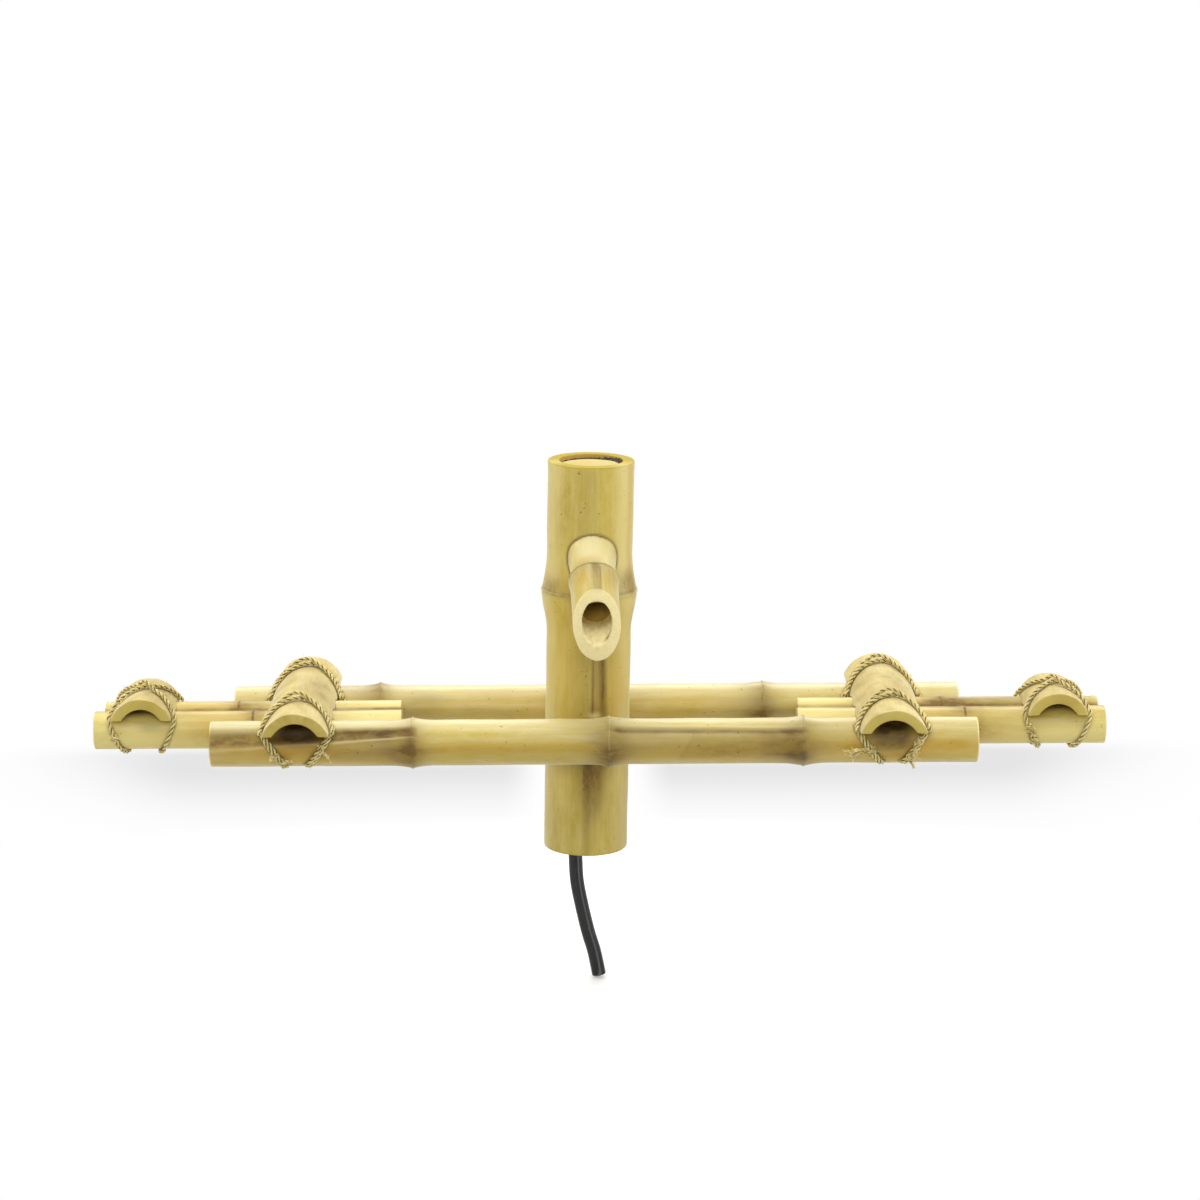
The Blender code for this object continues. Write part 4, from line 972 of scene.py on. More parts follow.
def down_leg(x, side, entry, pole, outer):
    """A leg of twine down the near side of a long pole, from the half culm's foot to its hole."""
    entry_degrees, entry_x, bow = entry
    radius = pole["radius"]
    foot_x = arch_foot(INNER_ARCH)[2]
    foot_degrees = math.degrees(math.asin((radius - 0.0036) / (radius + ROPE_OFFSET)))
    stray = LEG_PITCH if outer else 0.0
    spots = []
    for share in np.linspace(1 / LEG_POINTS, 1.0, LEG_POINTS):
        spots.append((foot_x + (entry_x - foot_x) * share ** bow + stray * min(1.0, share / 0.3),
                      radius + ROPE_OFFSET + LEG_SLACK[outer] * (1 - share) ** 2,
                      math.radians(foot_degrees + (entry_degrees - foot_degrees) * share)))
    spots += [(entry_x + stray, reach, math.radians(entry_degrees - 5.0))
              for reach in (radius - 0.0003, radius - 0.006)]
    return [(x + side * across, pole["y"] - reach * math.cos(angle),
             radius + reach * math.sin(angle)) for across, reach, angle in spots]


def inner_lashing(x, which):
    """The two strands of an inner lashing as they show, each from hole to hole."""
    pole, entry = MAIN_POLES[which], LASH_ENTRY[which]
    return [down_leg(x, -1, entry, pole, outer)[::-1] + over_arch(x, pole, sign, lift)
            + down_leg(x, 1, entry, pole, not outer)
            for sign, lift, outer in ((1, 0.0, False), (-1, CROSS_LIFT, True))]


# %% Outer lashings
OUTER_FOOT = 38.0
OUTER_DOWN_START = 22.0
OUTER_BOTTOM = 0.0140
OUTER_DOWN_POINTS = 11


def outer_lashing(x):
    """Two turns round both poles of an arm that cross in an X on the half culm."""
    rope_arch, foot, foot_x = arch_foot(OUTER_ARCH)
    round_pole = ARM_RADIUS + ROPE_OFFSET
    y_foot = ARM_Y + round_pole * math.cos(math.radians(OUTER_FOOT))

    def over(sign, lift):
        spots = [(share, rope_arch + lift * max(0.0, 1 - abs(share) * 5))
                 for share in np.linspace(-1.0, 1.0, ARCH_POINTS)]
        return [(x + reach * math.sin(foot * share), sign * y_foot * share,
                 arch_centre(OUTER_ARCH, 0.0) + reach * math.cos(foot * share))
                for share, reach in spots]

    def down(side, face):
        spots = [((OUTER_FOOT - degrees) / (OUTER_FOOT + 90.0), math.radians(degrees))
                 for degrees in np.linspace(OUTER_DOWN_START, -90.0, OUTER_DOWN_POINTS)]
        return [(x + side * (foot_x + (OUTER_BOTTOM - foot_x) * share),
                 face * (ARM_Y + round_pole * math.cos(angle)),
                 ARM_Z + round_pole * math.sin(angle)) for share, angle in spots]

    first = down(-1, -1)[::-1] + over(1, 0.0) + down(1, 1)
    second = down(1, -1)[::-1] + over(-1, CROSS_LIFT)[::-1] + down(-1, 1)
    return [first + second + [first[0]]]


# %% All routes of the twine
ROPE_STEP = 0.0006


def nearness(spots):
    """A tree that quickly finds the nearest of many spots."""
    tree = KDTree(len(spots))
    for number, spot in enumerate(spots):
        tree.insert(spot, number)
    tree.balance()
    return tree


ROPE_ROUTES = {f"{hand}_{which}_lashing": inner_lashing(place, which)
               for hand, place in INNER_SADDLES.items() for which in MAIN_POLES}
ROPE_ROUTES.update({f"{hand}_outer_lashing": outer_lashing(place)
                    for hand, place in OUTER_SADDLES.items()})
ROPE_ROUTES = {name: [smooth_route(strand, ROPE_STEP) for strand in strands]
               for name, strands in ROPE_ROUTES.items()}
ROPE_TREE = nearness(np.concatenate(sum(ROPE_ROUTES.values(), [])))
for name, strands in ROPE_ROUTES.items():
    print(name, "twine that shows, mm:", round(sum(run_of(s)[-1] for s in strands) * 1000))

# %% [markdown]
# ## Finishing a culm
#
# A culm's marks are worked out while it still lies along its own axis. Then it is put in its place
# and the dirt and painted contact shade beside the twine are added, by each point's distance to the
# nearest rope.

# %% Finishing a culm
ROPE_REACH = 0.045
DIRT_AND_SHADE_WIDTH = 0.00150


def dirt_and_shade_by_ropes(places, seed):
    """How dark each point is from dirt and painted contact shade beside a rope, 0 to 1."""
    dirt = np.zeros(len(places))
    saddles = list(INNER_SADDLES.values()) + list(OUTER_SADDLES.values())
    near = np.min([np.abs(places[:, 0] - x) for x in saddles], axis=0) < ROPE_REACH
    for i in np.nonzero(near)[0]:
        gap = ROPE_TREE.find(places[i])[2] - ROPE_RADIUS
        if gap < 3 * DIRT_AND_SHADE_WIDTH:
            dirt[i] = math.exp(-(max(gap, 0.0) / DIRT_AND_SHADE_WIDTH) ** 2)
    return np.clip(dirt * (0.75 + 0.25 * ripple(places, 0.006, seed)), 0.0, 1.0)


def face_kinds(mesh, zone):
    """On each corner: is its face sawn, is it in the bore. A face takes its points' zones."""
    corner_zone = zone[values_of(mesh.loops, "vertex_index", kind=np.int64)]
    first = values_of(mesh.polygons, "loop_start", kind=np.int64)
    bore = np.minimum.reduceat(corner_zone, first) > 1.5
    sawn = (np.maximum.reduceat(corner_zone, first) > 0.5) & ~bore
    return np.repeat(np.stack([sawn, bore, np.zeros(len(first))], axis=1),
                     values_of(mesh.polygons, "loop_total", kind=np.int64), axis=0)


def paint(mesh, grain, marks, places, dirt, light):
    """Keeps what the bamboo recipe reads at each point."""
    keep(mesh, "grain", grain)
    keep(mesh, "marks", np.clip(np.stack(marks, axis=1), 0.0, 1.0))
    keep(mesh, "touches", np.clip(np.stack([dirt, light, np.zeros(len(places))], axis=1), 0.0, 1.0))
    move_points(mesh, places)


def finish_culm(piece, shape, marks, place, seed, looks=None):
    """Shapes a turned culm, paints it, and puts it in its place; looks may differ from zones."""
    mesh = piece.data
    zone = np.round(kept(mesh, "ring_zone"))
    points = shape(points_of(mesh), zone)
    *colours, light = marks(points)
    places = points @ np.array(place.to_3x3()).T + np.array(place.translation)
    paint(mesh, points + seed, colours, places, dirt_and_shade_by_ropes(places, int(seed * 10)), light)
    keep(mesh, "kind", face_kinds(mesh, zone if looks is None else looks), "CORNER")
    drop(mesh, "ring_zone")
    smooth(mesh, 38)
    print(piece.name, "points:", len(mesh.vertices))


# %% [markdown]
# ## The two long poles
#
# The front pole has three nodes and two bud grooves: a wide scoop that runs out of its left end,
# and a narrow one right of the post. The rear pole has two nodes, one of them with a peaked swell.
# A row of marks gives its place and size along the pole and round it, its strength and its seed.

# %% Long poles
MAIN_LOOK = (112, 0.0023, 0.020, (0.00055, 0.00075), POLE_RIND)
BORE_SHOWN = 0.070
LEFT_SCOOP = Groove((-0.3332, 30.0, 0.0040, 0.0068), (-0.1680, 45.0, 0.0010, 0.0034))
MIDDLE_GROOVE = Groove((0.0280, 44.0, 0.0014, 0.0030), (0.1860, 38.0, 0.0005, 0.0024), 0.006)


def front_shape(points, zone):
    points = natural(points, zone, 0.0200, 0.0130, 1)
    return MIDDLE_GROOVE.carve(LEFT_SCOOP.carve(points, zone), zone)


def front_marks(p):
    scoop, _, scoop_on = LEFT_SCOOP.measures(p)
    middle, _, middle_on = MIDDLE_GROOVE.measures(p)
    x, angle = p[:, 0], angle_round(p)
    inside = scoop_on * (x < -0.150)
    toward_node = np.clip((x + 0.30) / 0.13, 0.0, 1.0)
    patch = np.clip((x - 0.085 - 0.012 * angle) / 0.002, 0.0, 1.0)
    stain = (0.62 + 0.20 * toward_node) * bell(scoop + 0.05, 1.15) * inside
    stain += 0.45 * bell(scoop + 1.2, 0.9) * inside + 0.50 * bell(middle, 1.5) * middle_on
    stain += many(node_shade, p, (-0.1546, 0.024, 0.010, 1.05, 3, -20, 120),
                  (0.0186, 0.020, 0.014, 1.25, 4, -25, 110),
                  (0.1903, 0.026, 0.020, 1.05, 5, -15, 120))
    stain += band(p, 0.018, 0.193, 0.012, -2, 34, 0.62, 6) * (0.62 + 0.38 * patch)
    stain += many(band, p, (-0.345, -0.283, 0.006, 26, 19, 0.27, 7),
                  (-0.236, -0.153, 0.025, 36, 20, 0.30, 17))
    stain += smudge(p, -0.205, 0.060, -8, 26, 0.42, 8)
    gold = many(smudge, p, (-0.09, 0.06, -12, 30, 0.35, 9), (-0.26, 0.08, -14, 30, 0.55, 10),
                (0.27, 0.06, -8, 35, 0.70, 11), (0.12, 0.09, -22, 35, 0.55, 12))
    gold += many(band, p, (-0.15, 0.02, 0.02, 2, 14, 0.45, 18), (0.30, 0.35, 0.02, 2, 16, 0.5, 19))
    dark = 0.45 * bell(scoop - 0.1, 0.55) * inside * toward_node
    dark += 0.50 * bell(middle + 0.1, 0.55) * middle_on + smudge(p, -0.182, 0.010, 37, 6, 0.6, 13)
    dark += many(node_shade, p, (0.1903, 0.018, 0.006, 0.68, 14, -25, 50),
                 (-0.1546, 0.009, 0.003, 0.36, 15, -30, 70),
                 (0.0186, 0.012, 0.008, 0.48, 16, -30, 50))
    # Painted shade on the pole under each inner half culm: dark under the arch, gold below it.
    for place, amount, low, high in ((INNER_SADDLES["left"], 1.0, 2, 24),
                                     (INNER_SADDLES["right"], 0.95, -44, 22)):
        over = np.clip((angle - math.radians(low)) / math.radians(high - low), 0.0, 1.0)
        dark += amount * over * np.exp(-((x - place) / 0.0185) ** 4)
        gold += 0.9 * bell(x - place, 0.020) * np.clip(over + 0.4, 0.0, 1.0)
    # Painted highlights along the grooves' ridges and the pole's top, with stain kept off the scoop's
    # lower ridge; pale lines at the nodes.
    light = 0.9 * bell(scoop + 1.85, 0.30) * inside + 0.7 * bell(scoop - 1.75, 0.4) * inside
    light += 0.6 * bell(middle - 1.9, 0.5) * middle_on + 0.55 * toward(p, 82, 0.42)
    light += sum(0.5 * bell(x - node, 0.0006) for node in MAIN_POLES["front"]["nodes"])
    stain *= 1.0 - 0.75 * bell(scoop + 1.85, 0.26) * scoop_on
    return stain, gold + 0.30 * toward(p, 0, 0.50), dark, light


def rear_shape(points, zone):
    points = natural(points, zone, 0.0208, 0.0138, 2)
    peak = 0.0012 * bell(points[:, 0] + 0.1890, 0.006) * toward(points, 70, 0.8)
    return push_outward(points, np.where(zone == RIND, peak, 0.0))


def rear_marks(p):
    stain = many(node_shade, p, (-0.1890, 0.028, 0.012, 0.95, 21, 50, 100),
                 (0.1603, 0.020, 0.014, 1.0, 22, 10, 110))
    stain += many(band, p, (0.04, 0.25, 0.03, -6, 16, 0.35, 30),
                  (-0.19, -0.04, 0.03, 0, 16, 0.3, 31))
    stain += smudge(p, -0.150, 0.020, 20, 40, 0.30, 23)
    gold = many(smudge, p, (-0.06, 0.07, 10, 50, 0.35, 24), (0.09, 0.06, 10, 50, 0.35, 25))
    # Painted shade: dark smudges on the pole's front beneath the arms, near the half culms.
    dark = many(smudge, p, (-0.21, 0.022, 14, 10, 0.45, 26), (-0.245, 0.04, 0, 18, 0.4, 27),
                (0.22, 0.05, 2, 16, 0.4, 28)) + node_shade(p, 0.1603, 0.010, 0.008, 0.4, 32, 0, 40)
    # The returned light is a painted highlight along the pole's top.
    return stain, gold, dark, smudge(p, 0.0, 0.06, 62, 18, 0.5, 29) + 0.75 * toward(p, 80, 0.50)


for which, shape, marks, seed in (("front", front_shape, front_marks, 1),
                                  ("rear", rear_shape, rear_marks, 2)):
    size = MAIN_POLES[which]
    outline = culm_outline(size["span"], lambda _: size["radius"], size["radius"] - MAIN_WALL,
                           size["nodes"], END_ROUND, BORE_SHOWN)
    pole = turned_culm(f"{which}_pole_shown", outline, size["nodes"], *MAIN_LOOK)
    finish_culm(pole, shape, marks, Matrix.Translation((0.0, size["y"], size["radius"])), seed)
    dress(pole, "frame", "pole_bamboo", f"{which}_main_pole")

# %% [markdown]
# ## The sliding arms
#
# Each arm has two thinner poles side by side. Their nodes hardly swell, but show as crisp dark
# lines, and painted brown shade lies in the crevice between them. The poles ride on the arm's own
# body, so that they slide with it.

# %% Arm poles
ARM_LOOK = (84, 0.00055, 0.010, (0.00030, 0.00055), ARM_RIND)
ARM_BORE = ARM_RADIUS - 0.0050


def arm_marks(name, size, seed, p):
    node, front, left = size["nodes"][0], size["y"] < 0, name.startswith("left")
    line = bell(p[:, 0] - node, 0.00085) * (0.75 + 0.25 * ripple(p, 0.012, seed))
    # Painted shade in the crevice between an arm's two poles, as stain and gold.
    crevice_shade = toward(p, *((100, 0.26) if front else (46, 0.13))) * (
        0.7 + 0.3 * ripple(p * (0.2, 1, 1), 0.02, seed + 1))
    before, after = (0.010, 0.034) if left else (0.024, 0.020)
    stain = node_shade(p, node, before, after, 0.92, seed, 60, 110) + 0.80 * crevice_shade + 0.75 * line
    if name == "right_rear":
        stain += band(p, 0.30, 0.47, 0.02, 60, 50, 0.58, seed + 7)
    gold = many(smudge, p, (node - 0.035, 0.035, 40, 60, 0.45, seed + 2),
                (sum(size["span"]) / 2, 0.07, -10, 40, 0.40, seed + 3))
    gold += node_shade(p, node, 0.02, 0.03, 0.75, seed + 8, 60, 90) + 0.5 * crevice_shade
    dark = 0.30 * line + smudge(p, size["span"][0] + 0.05, 0.01, 20, 12, 0.25, seed + 4)
    # Painted highlights on the tops of the poles, and painted light on the lower front of the front
    # poles.
    light = many(smudge, p, (node + 0.02, 0.02, 70, 50, 0.3, seed + 5),
                 (size["span"][int(left)], 0.05, 70, 60, 0.7, seed + 6))
    return stain, gold, dark, light + 0.9 * toward(p, -15, 0.7) * front


for number, (name, size) in enumerate(ARM_POLES.items()):
    seed = 3 + number
    outline = culm_outline(size["span"], lambda _: ARM_RADIUS, ARM_BORE, size["nodes"],
                           END_ROUND * 0.7, 0.05)
    pole = turned_culm(f"{name}_arm_pole_shown", outline, size["nodes"], *ARM_LOOK)
    finish_culm(pole, lambda p, zone: natural(p, zone, ARM_RADIUS, ARM_BORE, seed, 0.006, 0.00018),
                lambda p: arm_marks(name, size, 40 + 10 * number, p),
                Matrix.Translation((0.0, size["y"], ARM_Z)), seed)
    dress(pole, f"{name.split('_')[0]}_arm", "arm_bamboo", f"{name}_arm_pole")

# %% [markdown]
# ## The post
#
# The post is a thick culm with one heavy ring. Above the ring its outline sweeps in like a
# trumpet, below it swells softly. It leans a little to the right, so it is turned along its own
# axis first and placed with the leaning axis's matrix. A bud groove runs up its front.

# %% Post
POST_LENGTH = 0.355
POST_RADIUS = 0.0375
POST_TOP_RADIUS = 0.0384
POST_BORE = 0.0283
POST_RING = 0.2385
POST_RING_RADIUS = 0.0428
POST_SCAR = (0.0006, 0.0009)
POST_SEED = 8
SPOUT_JOINT = 0.0219
POST_GROOVE = Groove((0.1320, -13.5, 0.0013, 0.0050), (0.1950, -12.0, 0.0009, 0.0042), 0.004)
POST_UP = Vector((math.sin(POST_LEAN), 0.0, math.cos(POST_LEAN)))
POST_TURN = Matrix((POST_UP, (0, 1, 0), POST_UP.cross(Vector((0, 1, 0))))).transposed().to_4x4()
POST_MATRIX = Matrix.Translation(
    Vector((0.0, 0.0, POST_PIVOT)) - POST_UP * (POST_PIVOT - POST_FOOT)) @ POST_TURN


def post_radius(height):
    above = height - POST_RING
    upper = np.maximum(0, 2 * height / POST_LENGTH - 1)
    base = POST_RADIUS + (POST_TOP_RADIUS - POST_RADIUS) * upper
    over = np.clip(1 - above / 0.038, 0.0, 1.0) ** 2
    under = 0.5 * (1 + np.cos(math.pi * np.clip(-above / 0.040, 0.0, 1.0)))
    return base + (POST_RING_RADIUS - POST_SCAR[0] - POST_RADIUS) * np.where(above > 0, over, under)


def post_shape(points, zone):
    points = natural(points, zone, 0.0380, POST_BORE, POST_SEED, 0.004, 0.0003)
    points = POST_GROOVE.carve(points, zone)
    across, _, on = POST_GROOVE.measures(points)
    thread = 0.00035 * bell(across - 0.1, 0.22) * on
    scar = 0.0013 * bell(points[:, 0] - 0.1300, 0.0030) * toward(points, -8.5, 0.17)
    points = push_outward(points, np.where(zone == RIND, thread + scar, 0.0))
    sag = 0.0010 * np.sin(angle_round(points) * 2 + 0.6) * bell(points[:, 0] - POST_RING, 0.02)
    points[:, 0] += np.where(zone == RIND, sag, 0.0)
    return points


def from_spout(p):
    """Distance of the post's points from the spout's axis."""
    out = np.array(SPOUT_OUT)
    away = (p @ np.array(POST_MATRIX.to_3x3()).T + np.array(POST_MATRIX.translation)
            - np.array(SPOUT_START))
    return np.linalg.norm(away - (away @ out)[:, None] * out, axis=1)


def post_marks(p):
    groove, _, on = POST_GROOVE.measures(p)
    height, bud = p[:, 0], toward(p, -8.5, 0.2)
    above = height > POST_RING
    stain = (0.55 * bell(groove - 0.95, 0.28) + 0.80 * bell(groove + 1.2, 0.65)
             + 0.30 * np.exp(-groove ** 4)) * on
    stain += node_shade(p, POST_RING, 0.002, 0.014, 0.62, 61, 0, 400)
    stain += band(p, -0.01, 0.09, 0.01, 0, 5, 0.40, 63) + 0.8 * bell(height - 0.1262, 0.0018) * bud
    stain += many(smudge, p, (0.082, 0.036, -9, 15, 0.85, 62), (0.085, 0.050, -4, 27, 0.45, 69),
                  (0.10, 0.02, 60, 40, 0.3, 64), (0.251, 0.010, -64, 24, 0.50, 67),
                  (0.247, 0.007, 62, 26, 0.35, 68))
    gold = many(smudge, p, (0.19, 0.05, 25, 40, 0.35, 65), (0.16, 0.05, -40, 25, 0.5, 66))
    gold += 0.5 * toward(p, -66, 0.14) * above
    dark = 0.30 * (bell(groove - 0.95, 0.16) + bell(groove + 1.0, 0.20)) * on
    dark += 0.75 * bell(from_spout(p) - SPOUT_JOINT, 0.0011) * (p[:, 1] < 0)
    dark += 0.30 * bell(height - POST_RING - 0.0022, 0.0011)
    # Painted highlights down both sides of the post, above and below the ring; the ring's ridge and
    # the bud scar are pale.
    light = 0.80 * toward(p, -57, 0.33) * above + 0.6 * toward(p, 70, 0.30)
    light += 0.75 * toward(p, -56, 0.34) * ~above * np.clip((height - 0.07) / 0.08, 0.2, 1.0)
    scar = bell(height - 0.1304, 0.0027) * toward(p, -8.5, 0.17)
    light += 0.9 * bell(height - POST_RING, 0.0012) + scar
    return stain * (1 - 0.9 * scar), gold, dark * (1 - 0.9 * scar), light


outline = culm_outline((0.0, POST_LENGTH), post_radius, POST_BORE, (POST_RING,), END_ROUND, 0.030)
post = turned_culm("post_shown", outline, (POST_RING,), 160, 0.0, 0.02, POST_SCAR, POST_RIND)
finish_culm(post, post_shape, post_marks, POST_MATRIX, POST_SEED)
dress(post, "frame", "post_bamboo", "post_culm")

# %% [markdown]
# ## The spout
#
# The spout is a short culm coped to the post and cut at a slant. Two boolean cuts would leave long
# thin triangles on its smooth rind, so the turned culm is stretched instead: the rings before its
# node reach back to the post's surface, and those past it reach out to the slanted cut.

# %% Spout
SPOUT_RING = 0.0675
SPOUT_ROOT = 0.030
SPOUT_TIP = 0.125
SPOUT_SHORT = 0.0982
MOUTH_RADIUS = 0.0209
SPOUT_CUT_SLOPE = 0.046 / (2 * MOUTH_RADIUS)
SPOUT_STEP = 0.1072
SPOUT_BORE, MOUTH_BORE = 0.0122, 0.0132
SPOUT_GROOVE = Groove((0.0680, 3.0, 0.0009, 0.0042), (0.0960, 1.0, 0.0006, 0.0040), 0.003)
SPOUT_COLLAR = 0.0017
BORE_RISE = 0.0020
SPOUT_SEED = 9


def spout_radius(reach):
    plain, swell = (MOUTH_RADIUS, 0.0015) if reach > SPOUT_RING else (0.0199, 0.0025)
    return plain + swell * max(0.0, 1 - abs(reach - SPOUT_RING) / 0.020) ** 2


def spout_outline():
    floor = SPOUT_RING + 0.002
    rings = [(SPOUT_ROOT, radius, BORE) for radius in (0.0, 0.010, 0.0197)]
    rings += [(p, spout_radius(p), RIND)
              for p in ring_places(SPOUT_ROOT, SPOUT_TIP - 0.0008, (SPOUT_RING,), 0.0011)]
    rings += [(SPOUT_TIP - 0.0003, MOUTH_RADIUS - 0.0001, SAWN_FACE)]
    rings += [(SPOUT_TIP, radius, SAWN_FACE)
              for radius in (MOUTH_RADIUS - 0.0006, 0.0185, 0.0165, 0.0145, 0.0137)]
    rings += [(p, MOUTH_BORE, BORE)
              for p in (SPOUT_TIP - 0.0005, *np.linspace(SPOUT_TIP - 0.001, SPOUT_STEP, 14))]
    rings += [(p, SPOUT_BORE, BORE)
              for p in (SPOUT_STEP, *np.linspace(SPOUT_STEP - 0.0005, floor, 16))]
    return rings + [(floor, 0.0, BORE)]


SPOUT_SIDE = SPOUT_OUT.cross(-SPOUT_UP)


def reach_of_post(points):
    """Along the spout from each point's place across it, where it meets the post's surface."""
    base = (np.outer(points[:, 1], -np.array(SPOUT_UP))
            + np.outer(points[:, 2], np.array(SPOUT_SIDE)) + np.array(SPOUT_START))
    axis, pivot = np.array(POST_UP), np.array((0.0, 0.0, POST_PIVOT))
    low, high = np.zeros(len(points)), np.full(len(points), SPOUT_RING - 0.002)
    for _ in range(26):
        middle = (low + high) / 2
        spots = base + middle[:, None] * np.array(SPOUT_OUT) - pivot
        height = spots @ axis
        off = np.linalg.norm(spots - height[:, None] * axis, axis=1)
        inside = off < post_radius(height + POST_PIVOT - POST_FOOT) + 0.0001
        low, high = np.where(inside, middle, low), np.where(inside, high, middle)
    return low


def spout_shape(points, zone):
    points = natural(points, zone, MOUTH_RADIUS, MOUTH_BORE, SPOUT_SEED, 0.005, 0.0002)
    points = SPOUT_GROOVE.carve(points, zone)
    up, reach = -points[:, 1], points[:, 0]
    tilt = 0.0014 * bell(reach - SPOUT_RING, 0.012) * (up / 0.02)
    cut_at = SPOUT_SHORT + (MOUTH_RADIUS - up) * SPOUT_CUT_SLOPE + 0.00025 * ripple(
        points, 0.012, 71)

    def stretched(start, end):
        return start + (reach - start) * (end - start) / (SPOUT_TIP - start)

    mouth = stretched(SPOUT_STEP, np.maximum(SPOUT_STEP, cut_at))
    bored = np.minimum(np.where(reach > SPOUT_STEP, mouth, reach), cut_at - 0.0002)
    faced = cut_at - (SPOUT_TIP - reach)
    past = np.where(zone == RIND, stretched(SPOUT_RING, cut_at),
                    np.where(zone == SAWN_FACE, faced, bored))
    root = reach_of_post(points)
    back = SPOUT_RING - (SPOUT_RING - reach) * (SPOUT_RING - root) / (SPOUT_RING - SPOUT_ROOT)
    points[:, 0] = np.where(reach < SPOUT_RING, back, past) - np.where(zone == RIND, tilt, 0.0)
    flared = (zone == RIND) & (points[:, 0] < SPOUT_RING)
    collar = SPOUT_COLLAR * np.exp(-np.maximum(points[:, 0] - root, 0.0) / 0.0045)
    points = push_outward(points, np.where(flared, collar, 0.0))
    points[:, 0] += np.where(flared, (reach_of_post(points) - root) * collar / SPOUT_COLLAR, 0.0)
    radius = off_axis(points)
    inner = np.clip((MOUTH_RADIUS - radius) / 0.0070, 0.0, 1.0) * (points[:, 0] > SPOUT_RING)
    points[:, 1] -= np.where(zone == RIND, 0.0, BORE_RISE * inner)
    floor = (zone == BORE) & (points[:, 0] > SPOUT_STEP - 0.006) & (radius > 0.008)
    rough = 0.00040 * ripple(points, 0.0060, 79) + 0.00012 * ripple(points, 0.0025, 80)
    return push_outward(points, np.where(floor, rough * np.clip(points[:, 1] / 0.008, 0, 1), 0.0))


def spout_marks(p):
    groove, _, on = SPOUT_GROOVE.measures(p)
    x, radius = p[:, 0], off_axis(p)
    within = radius < 0.0150
    # Painted shade deep in the bore: gold and stain darken it past the mouth.
    inner = within * np.clip((0.1165 - x) / 0.010, 0.0, 1.0)
    stain = node_shade(p, SPOUT_RING, 0.004, 0.010, 0.40, 72, 0, 200) + 0.30 * inner
    stain += 0.42 * np.exp(-groove ** 4) * on + smudge(p, 0.078, 0.012, 48, 22, 0.25, 73)
    gold = many(smudge, p, (0.080, 0.014, -38, 22, 0.75, 74), (0.060, 0.006, -30, 50, 0.4, 75),
                (0.080, 0.012, 55, 20, 0.4, 76))
    gold += 0.9 * inner + 0.40 * within * np.clip(ripple(p, 0.006, 81), 0.0, 1.0)
    crack = bell(x - reach_of_post(p), 0.0009) * (0.65 + 0.35 * ripple(p, 0.004, 77))
    dark = 0.9 * np.clip(crack, 0, 1) + 0.30 * bell(x - SPOUT_RING + 0.0010, 0.0006)
    dark += 0.45 * bell(groove - 0.92, 0.20) * on * (x > 0.070)
    turn = np.degrees(np.arctan2(p[:, 2], -p[:, 1] - BORE_RISE))
    split = np.exp(-((turn - 132.0) / 18.0) ** 4) * (x > 0.105)
    from_cut = SPOUT_SHORT + (MOUTH_RADIUS + p[:, 1]) * SPOUT_CUT_SLOPE - x
    dark += 0.95 * split * bell(np.hypot(p[:, 1] + BORE_RISE, p[:, 2]) - 0.0134, 0.0005) * bell(
        from_cut - 0.001, 0.0014)
    # Painted highlight on the spout's top near the post; a pale chip at the mouth's split.
    light = smudge(p, 0.048, 0.022, 0, 60, 0.9, 78)
    light += 0.9 * bell(turn - 132.0, 6.0) * bell(radius - 0.0165, 0.0016) * (x > 0.105)
    return stain, gold, dark, light


spout = turned_culm("spout_shown", spout_outline(), (SPOUT_RING,), 112, 0.0, 0.02,
                    (0.00045, 0.0007), POLE_RIND)
spout_zone = kept(spout.data, "ring_zone")
open_part = (spout_zone > 1.5) & (points_of(spout.data)[:, 0] > SPOUT_STEP - 0.0001)
spout_turn = Matrix((SPOUT_OUT, -SPOUT_UP, SPOUT_SIDE)).transposed().to_4x4()
finish_culm(spout, spout_shape, spout_marks, Matrix.Translation(SPOUT_START) @ spout_turn,
            SPOUT_SEED, np.where(open_part, SAWN_FACE, spout_zone))
dress(spout, "frame", "pole_bamboo", "spout_culm")

# %% [markdown]
# ## Half culms
#
# Each half culm is scraped, matt bamboo with flat sawn ends and feet, and it is coped over the
# round poles below it. The arch is lofted as one closed skin, close enough in points to carry the
# dirt and painted contact shade beside the twine, and then the poles' rounds are cut out of it with
# exact booleans.

# %% Half culm
ARCH_STEPS = 76
ARCH_SPACING = 0.0015
ARCH_EDGE = 0.0009
SEAT_SPARE = 0.0003
SLOT_SPARE = 0.0009


def arch_section(arch, ease):
    """Outer and inner rows of points across a half culm, drawn in at its ends by ease."""
    drop_by = arch["radius"] - arch["rise"]
    for reach, inset in ((arch["radius"] - ease, 0.45),
                         (arch["radius"] - arch["wall"] + ease * 0.6, -0.3)):
        edge = math.acos(min(1.0, drop_by / reach))
        angles = np.linspace(-edge, edge, ARCH_STEPS + 1)
        corner = np.exp(-(edge - np.abs(angles)) * reach / 0.0010)
        size = reach * (1 - inset * ARCH_EDGE * corner / reach)
        yield np.stack([size * np.sin(angles), size * np.cos(angles)], axis=1)


